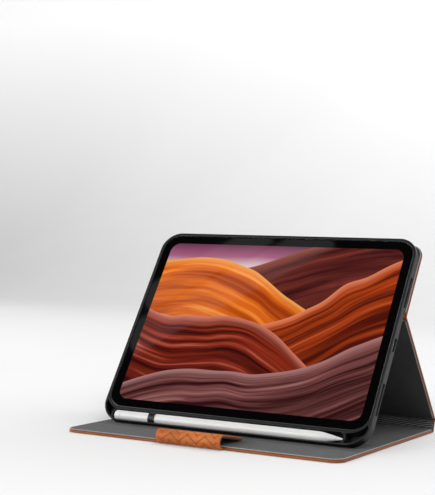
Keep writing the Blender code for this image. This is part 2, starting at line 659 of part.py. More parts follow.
def make_rear_camera(parent, looks, housing, low, high):
    x, y = camera_place()
    place = (x, y, 0.0)
    ring = CAMERA_RING_DIAMETER / 2
    hole = ring - CAMERA_RING_WALL
    barrel = hole - 2 * CLEARANCE
    outline = centred(CAMERA_BODY_SIZE, CAMERA_BODY_SIZE, 0.0, x, y)
    camera = plate("rear_camera", outline, low, high, looks["circuit"], parent)
    lens_top = -GLUE_LINE - CLEARANCE
    profile = [(lens_top + CLEARANCE, barrel), (low + GLUE_LINE, barrel)]
    add(camera, turned("camera_barrel", profile, None, parent, place, "Z"))
    profile = [(-HOUSING_FLOOR, hole), (2 * HOUSING_FLOOR, hole)]
    cut(housing, turned("camera_hole", profile, None, parent, place, "Z"))
    ring_low = -GLUE_LINE - CAMERA_RING_HEIGHT
    bevel = CAMERA_RING_WALL / 4
    profile = [(-GLUE_LINE, hole), (ring_low, hole), (ring_low, ring - bevel), (ring_low + bevel, ring),
               (-GLUE_LINE, ring)]
    loops = []
    for distance, radius in profile:
        circle = arc(0.0, 0.0, radius, 0, 360, ROUND_STEPS)[:-1]
        loops.append([(px, py, distance) for px, py in circle])
    loft("camera_ring", loops, looks["aluminium"], parent, place, ring=True)
    glass = hole - CLEARANCE
    profile = [(ring_low + CLEARANCE, glass), (lens_top, glass)]
    turned("camera_lens", profile, looks["lens"], parent, place, "Z")


def make_port(parent, looks, housing):
    """Socket in the right side. Its own Z points out of the tablet."""
    side = frame("port_frame", (TABLET_WIDTH / 2, PORT_Y, SIDE_LEVEL), (0.0, math.pi / 2, 0.0), parent)
    mouth = -CLEARANCE
    port = plate("usb_port", pill(PORT_HEIGHT, PORT_WIDTH), mouth - PORT_LENGTH, mouth, looks["steel"], side)
    hollow = pill(PORT_HEIGHT - 2 * PORT_SHELL, PORT_WIDTH - 2 * PORT_SHELL)
    floor = mouth - PORT_LENGTH + 3 * PORT_SHELL
    cut(port, plate("port_hollow", hollow, floor, -mouth, None, side))
    tongue = centred(PORT_TONGUE_HEIGHT, PORT_TONGUE_WIDTH, 0.0)
    add(port, plate("port_tongue", tongue, floor - PORT_SHELL, mouth - 2 * PORT_SHELL, None, side))
    opening = pill(PORT_HEIGHT + 2 * CLEARANCE, PORT_WIDTH + 2 * CLEARANCE)
    cut(housing, plate("port_opening", opening, -2 * HOUSING_WALL, HOUSING_WALL, None, side))


def make_buttons(parent, looks, housing):
    """Caps held by a flange behind the wall, each with its switch on the housing's floor."""
    upright = (-math.pi / 2, 0.0, 0.0)
    leftward = (0.0, -math.pi / 2, 0.0)
    top = TABLET_HEIGHT / 2
    buttons = (("power_button", (-TABLET_WIDTH / 2, POWER_BUTTON_Y, SIDE_LEVEL), leftward),
               ("volume_up_button", (VOLUME_UP_X, top, SIDE_LEVEL), upright),
               ("volume_down_button", (VOLUME_DOWN_X, top, SIDE_LEVEL), upright))
    flange_high = -HOUSING_WALL - CLEARANCE
    flange_low = flange_high - BUTTON_FLANGE_DEPTH
    switch_high = flange_low - BUTTON_TRAVEL - CLEARANCE
    floor = SIDE_LEVEL - HOUSING_FLOOR - GLUE_LINE
    for name, place, turn in buttons:
        axis = frame(name + "_axis", place, turn, parent)
        upright_button = turn == upright

        def size(extra):
            long = BUTTON_LENGTH + 2 * extra
            short = BUTTON_HEIGHT + 2 * extra
            return pill(long, short) if upright_button else pill(short, long)

        levels = ((size(BUTTON_FLANGE)(), flange_low), (size(BUTTON_FLANGE)(), flange_high),
                  (size(0.0)(), flange_high), (size(0.0)(), BUTTON_PROUD - BUTTON_EDGE),
                  (size(-BUTTON_EDGE)(), BUTTON_PROUD))
        loops = [[(x, y, z) for x, y in outline] for outline, z in levels]
        loft(name, loops, looks["aluminium"], axis)
        hole = plate(name + "_hole", size(CLEARANCE), -2 * HOUSING_WALL, HOUSING_WALL, None, axis)
        cut(housing, hole)
        half = BUTTON_LENGTH / 4
        if upright_button:
            outline = rounded_rectangle(-half, half, -BUTTON_HEIGHT / 2, floor, (0.0,) * 4)
        else:
            outline = rounded_rectangle(-floor, BUTTON_HEIGHT / 2, -half, half, (0.0,) * 4)
        plate(name.replace("button", "switch"), outline, switch_high - SWITCH_DEPTH, switch_high,
              looks["circuit"], axis)


def flap_path():
    """The loop's middle, inner radius, tangent angle and straight length, in Y and Z."""
    middle = (-CLEARANCE, FLAP_LOOP)
    thickness = FLAP_LEATHER + FLAP_STIFFENER + FLAP_LINING + 2 * GLUE_LINE
    inner = FLAP_LOOP - thickness
    tip = (FLAP_REACH, PANEL + CLEARANCE)
    away = math.hypot(tip[0] - middle[0], tip[1] - middle[1])
    towards = math.atan2(tip[1] - middle[1], tip[0] - middle[0])
    tangent = towards + math.acos(inner / away)
    return middle, inner, tangent, math.sqrt(away ** 2 - inner ** 2)


def flap_layer(name, low, high, look, parent, start, stop, half_width, corner=0.0):
    """Strip along the flap between two heights over its inner face.

    start and stop are distances along the straight stretch. A start of None takes in the
    loop from the cover's edge. corner rounds the free end.
    """
    middle, inner, tangent, length = flap_path()
    radii = (inner + high, inner + low)
    stations = []
    if start is None:
        begin = 1.5 * math.pi
        for step in range(LOOP_STEPS + 1):
            angle = begin - (begin - tangent) * step / LOOP_STEPS
            stations.append((angle, 0.0, half_width))
    else:
        stations.append((tangent, start, half_width))
    if corner > 0.0:
        for step in range(CORNER_STEPS + 1):
            turn = math.pi / 2 * step / CORNER_STEPS
            along = stop - corner * (1 - math.sin(turn))
            stations.append((tangent, along, half_width - corner * (1 - math.cos(turn))))
    else:
        stations.append((tangent, stop, half_width))
    loops = []
    for angle, along, half in stations:
        loop = []
        for radius, sides in ((radii[0], (-half, half)), (radii[1], (half, -half))):
            y = middle[0] + radius * math.cos(angle) + along * math.sin(angle)
            z = middle[1] + radius * math.sin(angle) - along * math.cos(angle)
            loop += [(x, y, z) for x in sides]
        loops.append(loop)
    return loft(name, loops, look, parent)


def make_flap(parent, looks):
    length = flap_path()[3]
    half = FLAP_WIDTH / 2
    stiffener_low = FLAP_LINING + GLUE_LINE
    stiffener_high = stiffener_low + FLAP_STIFFENER
    leather_low = stiffener_high + GLUE_LINE
    inset = FLAP_STIFFENER_INSET
    flap_layer("flap_lining", 0.0, FLAP_LINING, looks["lining"], parent, None, length, half, FLAP_CORNER)
    leather_high = leather_low + FLAP_LEATHER
    flap_layer("flap_leather", leather_low, leather_high, looks["leather"], parent, None, length, half,
               FLAP_CORNER)
    stiffener = flap_layer("flap_stiffener", stiffener_low, stiffener_high, looks["board"], parent, None,
                           length - inset, half - inset, FLAP_CORNER - inset)
    stop = length - FLAP_MAGNET_FROM_TIP
    start = stop - FLAP_MAGNET_WIDTH
    magnet_half = FLAP_MAGNET_LENGTH / 2
    low, high = stiffener_low - FLAP_STIFFENER, stiffener_high + FLAP_STIFFENER
    pocket = flap_layer("flap_magnet_pocket", low, high, None, parent, start - CLEARANCE, stop + CLEARANCE,
                        magnet_half + CLEARANCE)
    cut(stiffener, pocket)
    flap_layer("flap_magnet", stiffener_low, stiffener_high, looks["magnet"], parent, start, stop, magnet_half)


def make_stylus(parent, looks):
    """Barrel with a bore that takes the cap's plug, the cell and the board, and a nib."""
    bore = STYLUS_RADIUS - BARREL_WALL
    cap_end = STYLUS_TAIL_X + CAP_LENGTH
    barrel_start = cap_end + GLUE_LINE
    taper_start = STYLUS_TIP_X - STYLUS_TAPER
    neck = STYLUS_TIP_X - NIB_LENGTH
    neck_radius = STYLUS_NECK_DIAMETER / 2
    bore_end = taper_start - BARREL_WALL
    profile = [(bore_end, bore), (barrel_start, bore), (barrel_start, STYLUS_RADIUS)]
    for step in range(EDGE_STEPS + 1):
        share = step / EDGE_STEPS
        ease = share ** TAPER_EASE
        profile.append((taper_start + (neck - taper_start) * share,
                        STYLUS_RADIUS + (neck_radius - STYLUS_RADIUS) * ease))
    turned("stylus_barrel", profile, looks["stylus"], parent)
    round_end = STYLUS_RADIUS * CAP_ROUNDING
    profile = []
    for step in range(EDGE_STEPS + 1):
        angle = math.pi / 2 * step / EDGE_STEPS
        profile.append((STYLUS_TAIL_X + round_end * (1 - math.sin(angle)),
                        STYLUS_RADIUS - round_end * (1 - math.cos(angle))))
    profile.reverse()
    plug = bore - CLEARANCE
    plug_end = cap_end + CAP_PLUG_LENGTH
    profile += [(cap_end, STYLUS_RADIUS), (cap_end, plug), (plug_end, plug)]
    turned("stylus_cap", profile, looks["stylus"], parent)
    nib_start = neck + GLUE_LINE
    nib_round = neck_radius * NIB_ROUNDING
    profile = [(nib_start, neck_radius)]
    for step in range(EDGE_STEPS):
        angle = math.pi / 2 * step / EDGE_STEPS
        profile.append((STYLUS_TIP_X - nib_round * (1 - math.sin(angle)), nib_round * math.cos(angle)))
    turned("stylus_nib", profile, looks["nib"], parent)
    cell_start = plug_end + CLEARANCE
    cell_end = cell_start + STYLUS_CELL_LENGTH
    turned("stylus_cell", [(cell_start, plug), (cell_end, plug)], looks["cell"], parent)
    board_start = cell_end + CLEARANCE
    outline = rounded_rectangle(board_start, board_start + STYLUS_BOARD_LENGTH, -STYLUS_BOARD_WIDTH / 2,
                                STYLUS_BOARD_WIDTH / 2, (0.0,) * 4)
    plate("stylus_board", outline, -STYLUS_BOARD_THICKNESS / 2, STYLUS_BOARD_THICKNESS / 2, looks["circuit"],
          parent)


def main():
    clear_scene()
    frames, leg_length = make_frames()
    looks = make_looks()
    make_cover(frames["cover"], looks)
    make_spine(frames["spine"], looks)
    make_leg(frames["leg"], looks, leg_length)
    make_back(frames["tray"], looks)
    make_tray(frames["tray"], looks)
    housing = make_tablet(frames["tablet"], looks)
    make_buttons(frames["tablet"], looks, housing)
    make_flap(frames["flap"], looks)
    make_stylus(frames["stylus"], looks)
    print("leg length", round(leg_length, 6))


main()
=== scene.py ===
import json
import math

import bmesh
import bpy
import numpy as np
from mathutils import Matrix, Vector


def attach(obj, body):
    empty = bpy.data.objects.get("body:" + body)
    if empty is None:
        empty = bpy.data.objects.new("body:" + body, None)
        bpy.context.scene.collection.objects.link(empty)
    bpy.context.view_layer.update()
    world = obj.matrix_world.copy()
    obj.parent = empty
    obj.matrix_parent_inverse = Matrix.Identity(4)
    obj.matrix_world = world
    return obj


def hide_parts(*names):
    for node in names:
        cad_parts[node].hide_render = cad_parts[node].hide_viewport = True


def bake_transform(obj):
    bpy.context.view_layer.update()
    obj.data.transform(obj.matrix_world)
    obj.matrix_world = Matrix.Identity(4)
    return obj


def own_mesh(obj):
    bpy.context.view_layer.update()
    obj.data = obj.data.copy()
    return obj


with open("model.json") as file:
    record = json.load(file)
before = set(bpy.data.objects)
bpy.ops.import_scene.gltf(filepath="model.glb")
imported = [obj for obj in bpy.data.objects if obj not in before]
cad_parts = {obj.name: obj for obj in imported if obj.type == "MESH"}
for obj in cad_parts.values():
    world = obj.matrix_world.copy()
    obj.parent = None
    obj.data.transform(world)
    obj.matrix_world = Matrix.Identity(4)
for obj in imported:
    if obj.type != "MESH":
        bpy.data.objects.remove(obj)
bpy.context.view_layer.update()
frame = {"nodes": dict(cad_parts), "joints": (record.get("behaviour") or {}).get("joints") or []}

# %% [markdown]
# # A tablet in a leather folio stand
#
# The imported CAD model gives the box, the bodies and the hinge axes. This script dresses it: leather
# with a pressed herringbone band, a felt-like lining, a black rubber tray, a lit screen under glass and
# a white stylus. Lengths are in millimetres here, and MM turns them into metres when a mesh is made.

MM = 0.001
nodes = frame["nodes"]

# %% [markdown]
# ## Where the panels are
#
# A folio is one long strip of leather, folded at three lines: cover, spine, leg and back. Each panel
# is drawn flat, and a turn about its fold axis stands it up. The hinge joints hold those axes, so the
# places are read from them and not typed again.

# %% Fold axes and panel angles
joints = {joint["name"]: joint for joint in frame["joints"]}


def fold_axis(name):
    """Y and Z of a joint, in millimetres."""
    return np.array(joints[name]["pos_m"][1:]) / MM


def heading(start, stop):
    """Angle of the line from start to stop, seen along X."""
    return math.atan2(stop[1] - start[1], stop[0] - start[0])


REAR_FOLD = fold_axis("spine_hinge")
SPINE_TOP = fold_axis("leg_hinge")
CREASE = fold_axis("stand_fold")
FLAP_ROOT = fold_axis("flap_hinge")
COVER_FRONT = (FLAP_ROOT[0], REAR_FOLD[1])
SPINE_TURN = heading(REAR_FOLD, SPINE_TOP)
LEG_TURN = heading(SPINE_TOP, CREASE)
TRAY_TURN = LEG_TURN - math.radians(joints["stand_fold"]["range_deg"][1])
print("turns", [round(math.degrees(turn), 2) for turn in (SPINE_TURN, LEG_TURN, TRAY_TURN)])


def laid(points, axis, turn):
    """Flat coordinates (x, y, z) turned about X by turn and moved to a fold axis."""
    x, y, z = np.moveaxis(np.asarray(points, float), -1, 0)
    cos, sin = math.cos(turn), math.sin(turn)
    return np.stack([x, axis[0] + cos * y - sin * z, axis[1] + sin * y + cos * z], -1)


# %% [markdown]
# ## From arrays to pieces
#
# Blender could model each piece by hand or with modifiers. Here every new piece is a grid of points
# worked out by numpy, because then its size is a number that can be read. The helpers list the faces
# of a grid, put points and faces into a mesh, weld what coincides, and tie a piece to its body.

# %% Mesh helpers
WELD = 1e-6
CUTTER_WELD = 1e-7
SLIVER = 1e-7
# An edge is shaded sharp where the faces beside it turn by more than so many degrees.
PIECE_SHARP = 40.0
SHEET_SHARP = 50.0
MOULD_SHARP = 35.0
GLASS_SHARP = 30.0


def grid_faces(rows, columns, close_rows=False, close_columns=False):
    """Quads of a grid of points, wrapped round in either direction where asked."""
    row = np.arange(rows if close_rows else rows - 1)
    column = np.arange(columns if close_columns else columns - 1)
    row, column = np.meshgrid(row, column, indexing="ij")
    below, beside = (row + 1) % rows, (column + 1) % columns
    here, there = row * columns, below * columns
    return np.stack([here + column, there + column, there + beside, here + beside], -1).reshape(-1, 4)


def welded_mesh(name, points, faces, weld, sliver=0.0, marks=None):
    """Mesh from millimetre points. Points within weld become one, and edges shorter than sliver go.

    marks are named values per point, for the material. Both limits are in metres.
    """
    mesh = bpy.data.meshes.new(name)
    mesh.from_pydata(np.asarray(points).reshape(-1, 3) * MM, [], faces)
    for label, values in (marks or {}).items():
        layer = mesh.attributes.new(label, "FLOAT", "POINT")
        layer.data.foreach_set("value", np.asarray(values, np.float32).ravel())
    work = bmesh.new()
    work.from_mesh(mesh)
    bmesh.ops.remove_doubles(work, verts=work.verts, dist=weld)
    if sliver > 0.0:
        bmesh.ops.dissolve_degenerate(work, edges=work.edges, dist=sliver)
    bmesh.ops.recalc_face_normals(work, faces=work.faces)
    work.to_mesh(mesh)
    work.free()
    return mesh


def linked(name, data):
    """Object of a mesh, a lamp or a camera, put into the scene."""
    made = bpy.data.objects.new(name, data)
    bpy.context.scene.collection.objects.link(made)
    return made


def new_piece(name, points, faces, finish, body=None, replaced=(), sharp=PIECE_SHARP, marks=None):
    """Finished piece: mesh, material, the body that carries it and the nodes it replaces."""
    mesh = welded_mesh(name, points, faces, WELD, SLIVER, marks)
    mesh.shade_smooth()
    mesh.set_sharp_from_angle(angle=math.radians(sharp))
    mesh.materials.append(finish)
    piece = linked(name, mesh)
    if body is not None:
        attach(piece, body)
    if replaced:
        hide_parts(*replaced)
    print(f"{name}: {len(mesh.vertices)} points, {len(mesh.polygons)} faces")
    return piece


# %% [markdown]
# ## Materials
#
# A material is a tree of shader nodes. It could be drawn by hand in the shader editor. A small helper
# adds a node here, sets its options and fills its sockets with values or links, so a material reads
# from top to bottom like a recipe.

# %% Node helpers
def shader_node(tree, kind, sockets=None, **options):
    """Node of a kind, with its options set and its sockets given values or linked."""
    made = tree.nodes.new("ShaderNode" + kind)
    for key, value in options.items():
        setattr(made, key, value)
    for key, value in (sockets or {}).items():
        if isinstance(value, bpy.types.NodeSocket):
            tree.links.new(value, made.inputs[key])
        else:
            made.inputs[key].default_value = value
    return made


def maths(tree, operation, first, second=0.0, clamp=False):
    """One step of arithmetic. Either side is a number or a socket."""
    made = shader_node(tree, "Math", {0: first, 1: second}, operation=operation, use_clamp=clamp)
    return made.outputs[0]


def times(tree, first, second, clamp=False):
    """Product of two values."""
    return maths(tree, "MULTIPLY", first, second, clamp)


def plus(tree, first, second):
    """Sum of two values."""
    return maths(tree, "ADD", first, second)


def minus(tree, first, second):
    """First value less the second."""
    return maths(tree, "SUBTRACT", first, second)


def ranged(tree, value, low, high):
    """Value from 0 to 1 stretched to run from low to high."""
    return shader_node(tree, "MapRange", {0: value, 3: low, 4: high}).outputs[0]


def smooth_step(tree, value, low, high):
    """0 below low, 1 above high, smooth between."""
    made = shader_node(tree, "MapRange", {0: value, 1: low, 2: high}, interpolation_type="SMOOTHSTEP")
    return made.outputs[0]


def blend_colours(tree, share, first, second):
    """Colour between first and second. Either is a socket or three numbers."""
    ends = [end if isinstance(end, bpy.types.NodeSocket) else (*end, 1.0) for end in (first, second)]
    return shader_node(tree, "Mix", {0: share, 6: ends[0], 7: ends[1]}, data_type="RGBA").outputs[2]


def tinted(tree, base, mask, amount, colour):
    """Base colour drawn towards another one where a mask is high."""
    return blend_colours(tree, times(tree, mask, amount), base, colour)


def ramp(tree, factor, stops):
    """Colour band with a colour at each stop."""
    made = shader_node(tree, "ValToRGB", {0: factor})
    band = made.color_ramp.elements
    while len(band) < len(stops):
        band.new(0.5)
    for element, (place, colour) in zip(band, stops):
        element.position = place
        element.color = (*colour, 1.0)
    return made.outputs[0]


# %% [markdown]
# ## The grain that all finishes share
#
# No real surface is even: leather has pores, microfibre a nap, moulded rubber a faint cloud. Each
# material could have its own noises. One node group with three scales as inputs does it once instead,
# and every material places that group with scales of its own.

# %% The shared grain group
def make_grain_group():
    """Clouds are slow patches, pores are fine cells. Height joins pores with a finer noise."""
    group = bpy.data.node_groups.new("Surface grain", "ShaderNodeTree")
    for label, value in (("Cloud scale", 40.0), ("Pore scale", 1500.0), ("Fine scale", 4000.0)):
        group.interface.new_socket(label, in_out="INPUT", socket_type="NodeSocketFloat").default_value = value
    for label in ("Clouds", "Pores", "Height"):
        group.interface.new_socket(label, in_out="OUTPUT", socket_type="NodeSocketFloat")
    given = group.nodes.new("NodeGroupInput").outputs
    place = shader_node(group, "TexCoord").outputs["Object"]
    clouds = shader_node(group, "TexNoise", {"Vector": place, "Scale": given["Cloud scale"], "Detail": 5.0,
                                             "Roughness": 0.62, "Distortion": 0.6})
    pores = shader_node(group, "TexVoronoi", {"Vector": place, "Scale": given["Pore scale"]})
    fine = shader_node(group, "TexNoise", {"Vector": place, "Scale": given["Fine scale"], "Detail": 3.0})
    pore = times(group, pores.outputs["Distance"], 1.4, clamp=True)
    height = plus(group, times(group, pore, 0.6), times(group, fine.outputs[0], 0.4))
    out = group.nodes.new("NodeGroupOutput")
    for label, socket in (("Clouds", clouds.outputs[0]), ("Pores", pore), ("Height", height)):
        group.links.new(socket, out.inputs[label])
    return group


GRAIN = make_grain_group()
print("grain group:", len(GRAIN.nodes), "nodes")


def start_finish(name, clouds, pores, fine):
    """New material with its grain group: tree, Principled shader and the group's outputs."""
    finish = bpy.data.materials.new(name)
    finish.use_nodes = True
    tree = finish.node_tree
    grain = tree.nodes.new("ShaderNodeGroup")
    grain.node_tree = GRAIN
    for label, value in (("Cloud scale", clouds), ("Pore scale", pores), ("Fine scale", fine)):
        grain.inputs[label].default_value = value
    return finish, tree, tree.nodes["Principled BSDF"], grain.outputs


def set_bump(tree, shader, height, strength, distance):
    """Fine relief for the shading only. distance is its depth in metres."""
    bump = shader_node(tree, "Bump", {"Strength": strength, "Distance": distance, "Height": height})
    tree.links.new(bump.outputs[0], shader.inputs["Normal"])


def mark(tree, label):
    """Value that a mesh carries on its points under this label, or 0 where it has none."""
    return shader_node(tree, "Attribute", attribute_name=label).outputs["Fac"]


# %% [markdown]
# ## Leather
#
# Pull-up leather is waxed, so its colour drifts in soft patches, darkens where it is pressed and pales
# where it is stretched. The pressed lines are real shape in the mesh. Their depth also comes along as
# a mark on the points, and the material darkens the bottom of each groove with it: partly the leather's
# own darkening where pressed, partly painted shade in the groove. The same mark darkens the rim's
# turned-under face, as painted shade.

# %% Tan leather
def make_leather():
    """Patches of two noises pick the colour. Pores, pressed lines darkened partly by painted shade, painted
    shade under the turned edge and the burnished rim are laid over it.
    """
    finish, tree, shader, grain = start_finish("tan leather", 26.0, 1700.0, 5200.0)
    small = shader_node(tree, "TexNoise", {"Vector": shader_node(tree, "TexCoord").outputs["Object"],
                                           "Scale": 170.0, "Detail": 4.0, "Roughness": 0.6})
    patch = plus(tree, times(tree, grain["Clouds"], 0.72), times(tree, small.outputs[0], 0.28))
    hide = ramp(tree, patch, ((0.30, (0.310, 0.071, 0.012)), (0.50, (0.525, 0.134, 0.022)),
                              (0.70, (0.690, 0.206, 0.040))))
    pored = tinted(tree, hide, grain["Pores"], 0.16, (0.16, 0.045, 0.012))
    # Pressed lines darken partly as pressed pull-up leather does and partly as painted shade in the grooves
    # and under the turned edge.
    pressed_and_shade = tinted(tree, pored, mark(tree, "pressed_and_shade"), 0.62, (0.055, 0.014, 0.005))
    burnished = tinted(tree, pressed_and_shade, mark(tree, "rim"), 0.55, (0.16, 0.047, 0.014))
    tree.links.new(burnished, shader.inputs["Base Color"])
    tree.links.new(ranged(tree, patch, 0.56, 0.40), shader.inputs["Roughness"])
    shader.inputs["Specular IOR Level"].default_value = 0.26
    set_bump(tree, shader, grain["Height"], 0.32, 0.00022)
    return finish


LEATHER = make_leather()
print("leather:", len(LEATHER.node_tree.nodes), "nodes")

# %% [markdown]
# ## Microfibre
#
# The lining has a short nap that scatters light, so it looks matt and a little paler at a glancing
# angle. Hair strands would be far too many here. A sheen on a dark, rough colour gives the same look.
# Marks on the points paint a highlight on the rib crests, paint shade in the rib valleys and the pressed
# lines, and pale a line along the rim.

# %% Grey lining
def make_felt():
    """Nap from the grain's clouds, darker between fibres, with a painted highlight on the rib crests, painted
    shade in the rib valleys and pressed lines, and a pale rim.
    """
    finish, tree, shader, grain = start_finish("grey microfibre", 55.0, 2600.0, 6500.0)
    nap = ramp(tree, grain["Clouds"], ((0.30, (0.052, 0.052, 0.054)), (0.70, (0.076, 0.076, 0.079))))
    fibres = tinted(tree, nap, grain["Height"], 0.35, (0.036, 0.036, 0.038))
    # Painted highlight on the rib crests.
    painted_crest_highlight = tinted(tree, fibres, mark(tree, "rib_highlight"), 0.75, (0.27, 0.27, 0.275))
    # Painted shade in the rib valleys and the pressed lines.
    painted_hollow_shade = tinted(tree, painted_crest_highlight, mark(tree, "pressed_and_shade"), 0.75, (0.018, 0.018, 0.019))
    edged = tinted(tree, painted_hollow_shade, mark(tree, "rim"), 1.0, (0.34, 0.34, 0.335))
    tree.links.new(edged, shader.inputs["Base Color"])
    tree.links.new(ranged(tree, grain["Height"], 0.86, 0.98), shader.inputs["Roughness"])
    shader.inputs["Sheen Weight"].default_value = 0.13
    shader.inputs["Sheen Roughness"].default_value = 0.45
    shader.inputs["Specular IOR Level"].default_value = 0.2
    set_bump(tree, shader, grain["Height"], 0.5, 0.00016)
    return finish


FELT = make_felt()
print("microfibre:", len(FELT.node_tree.nodes), "nodes")

# %% [markdown]
# ## Rubber, plastic, metal and board
#
# The other finishes differ only in colour, gloss and grain: soft black rubber, glossy white plastic,
# brushed metal, greyboard, and what lies inside the tablet. One function makes them all, with a dark
# and a light colour between which the clouds drift.

# %% Plain finishes
def make_plain(name, dark, light, roughness, clouds=60.0, pores=2200.0, fine=6000.0, bump=0.1, metallic=0.0,
               depth=0.00008, specular=0.5):
    """Finish with a cloudy colour, uneven gloss and a fine bump, for moulded and metal pieces."""
    finish, tree, shader, grain = start_finish(name, clouds, pores, fine)
    tree.links.new(ramp(tree, grain["Clouds"], ((0.32, dark), (0.68, light))), shader.inputs["Base Color"])
    gloss = ranged(tree, grain["Clouds"], roughness - 0.04, roughness + 0.05)
    tree.links.new(gloss, shader.inputs["Roughness"])
    shader.inputs["Metallic"].default_value = metallic
    shader.inputs["Specular IOR Level"].default_value = specular
    set_bump(tree, shader, grain["Height"], bump, depth)
    return finish


RUBBER = make_plain("black rubber", (0.0060, 0.0060, 0.0066), (0.0095, 0.0095, 0.0104), 0.37, bump=0.05,
                    specular=0.26)
ALUMINIUM = make_plain("silver aluminium", (0.56, 0.57, 0.58), (0.66, 0.67, 0.68), 0.34, metallic=1.0)
WHITE = make_plain("white plastic", (0.70, 0.70, 0.69), (0.74, 0.74, 0.73), 0.16, bump=0.02)
NIB = make_plain("nib plastic", (0.74, 0.74, 0.73), (0.79, 0.79, 0.78), 0.36, bump=0.05)
GREYBOARD = make_plain("greyboard", (0.19, 0.17, 0.145), (0.29, 0.265, 0.23), 0.9, pores=900.0, bump=0.5)
STEEL = make_plain("plated steel", (0.42, 0.42, 0.42), (0.55, 0.55, 0.55), 0.28, metallic=1.0)
FOAM = make_plain("black foam", (0.012, 0.012, 0.012), (0.03, 0.03, 0.03), 0.92, pores=1200.0, bump=0.6)
CELL = make_plain("battery pouch", (0.035, 0.035, 0.04), (0.065, 0.065, 0.07), 0.42)
CIRCUIT = make_plain("solder mask", (0.008, 0.04, 0.022), (0.018, 0.075, 0.045), 0.45, clouds=400.0)
DARK_GLASS = make_plain("lens glass", (0.004, 0.005, 0.008), (0.008, 0.010, 0.016), 0.06, bump=0.0)
PAINTED_HOLE_SHADE = make_plain("painted hole shade", (0.004, 0.004, 0.004), (0.008, 0.008, 0.008), 0.7)
print("finishes", len(bpy.data.materials))

# %% [markdown]
# ## Sheets
#
# Leather and lining are thin closed sheets. A plane with a Solidify modifier would give a sheet too,
# but not a rim that swells or turns under. One function makes them all in flat coordinates: x across
# the case, s along it from the cover's front edge, h out of the sheet. Others lay or bend it later.

# %% A closed sheet in flat coordinates
def sheet(xs, shares, near, far, top, low, bulge, lip=(0.0, 0.0), free=None, full=False, turns=5):
    """Points and faces of a closed sheet with a rounded rim.

    The upper face is the grid of x and s = near(x) + share * (far(x) - near(x)) at height top(x, s).
    The rim swells out by bulge * sin(a) while its height falls from top to low as cos(a). A lip of a
    width and depth turns the rim down and in again. free(x, s) is 0 where the sheet meets a neighbour
    and has no rim. full gives the lower face a whole grid, for a sheet that is bent later.
    """
    x = np.repeat(xs[:, None], len(shares), axis=1)
    s = near(xs)[:, None] + (far(xs) - near(xs))[:, None] * shares
    upper = np.stack([x, s, top(x, s)], -1).reshape(-1, 3)
    across, along = x.shape
    index = np.arange(across * along).reshape(across, along)
    rim = np.concatenate([index[:, 0], index[-1, 1:], index[-2::-1, -1], index[0, -2:0:-1]])
    edge = upper[rim]
    tangent = np.roll(edge, -1, 0) - np.roll(edge, 1, 0)
    normal = np.stack([tangent[:, 1], -tangent[:, 0]], -1)
    normal /= np.linalg.norm(normal, axis=1, keepdims=True)
    open_rim = np.ones(len(rim)) if free is None else free(edge[:, 0], edge[:, 1])
    floor = low - lip[1] * open_rim
    loops = []
    for angle in np.linspace(0, math.pi, turns + 2)[1:]:
        out = bulge * math.sin(angle) * open_rim
        height = (edge[:, 2] + floor) / 2 + (edge[:, 2] - floor) / 2 * math.cos(angle)
        loops.append((out, height))
    if lip[0] > 0.0:
        loops.append((-lip[0] * open_rim, floor))
        loops.append((-lip[0] * open_rim, np.full(len(rim), low)))
    rings = [np.column_stack([edge[:, :2] + normal * out[:, None], height]) for out, height in loops]
    count = len(rim)
    ids = [rim] + [len(upper) + step * count + np.arange(count) for step in range(len(rings))]
    faces = grid_faces(across, along).tolist()
    for above, below in zip(ids[:-1], ids[1:]):
        quad = (above, below, np.roll(below, -1), np.roll(above, -1))
        faces += np.stack(quad, -1).tolist()
    last = ids[-1]
    points = np.concatenate([upper] + rings)
    if full:
        under = np.full((across, along), -1)
        under.reshape(-1)[rim] = last
        inside = np.stack([x, s, np.full_like(x, low)], -1)[1:-1, 1:-1].reshape(-1, 3)
        under[1:-1, 1:-1] = len(points) + np.arange(len(inside)).reshape(across - 2, along - 2)
        faces += under.reshape(-1)[grid_faces(across, along)][:, ::-1].tolist()
        points = np.concatenate([points, inside])
    else:
        start = last[:across]
        stop = last[across + along - 2:2 * across + along - 2][::-1]
        right = last[across:across + along - 2]
        left = last[2 * across + along - 2:][::-1]
        strips = np.stack([start[1:-2], stop[1:-2], stop[2:-1], start[2:-1]], -1)
        faces += strips.tolist()
        faces.append([start[0], *left, stop[0], stop[1], start[1]])
        faces.append([start[-2], stop[-2], stop[-1], *right[::-1], start[-1]])
    return points, faces


# %% [markdown]
# ## Round corners
#
# Every sheet has round corners, cut with a punch on the real case. The columns of a grid run straight,
# so a corner is made by pulling the ends of the outer columns back along a circle. The distance from
# the rim has the same circle in it, and it tells where edge lines and rim marks go.

# %% Corner helpers
AT_END = 1e-6


def corner_setback(x, half, corner):
    """How far a round corner pulls an end back at x: corner - sqrt(corner^2 - past^2)."""
    past = np.clip(np.abs(x) - (half - corner), 0, corner)
    return corner - np.sqrt(np.maximum(corner ** 2 - past ** 2, 0))


def corner_inside(side, gap, corner):
    """Distance from a rim with a round corner, given the distances to its side and to its end."""
    rounded = corner - np.hypot(np.maximum(corner - side, 0), np.maximum(corner - gap, 0))
    return np.where((side < corner) & (gap < corner), rounded, np.minimum(side, gap))


def corner_columns(half, corner, count):
    """X values that lie closer together where a corner turns towards the side."""
    return half - corner + corner * np.sin(np.linspace(0, math.pi / 2, count))


def both_sides(right, middle=(0.0,)):
    """X values on the right, their mirror images on the left, and those in the middle."""
    return np.unique(np.round(np.concatenate([-right, middle, right]), 4))


def straight_edge(value):
    """Edge that runs straight across at one distance."""
    return lambda x: 0 * x + value


def no_relief(x, s):
    """Nothing pressed in: depth 0 everywhere."""
    return 0 * x


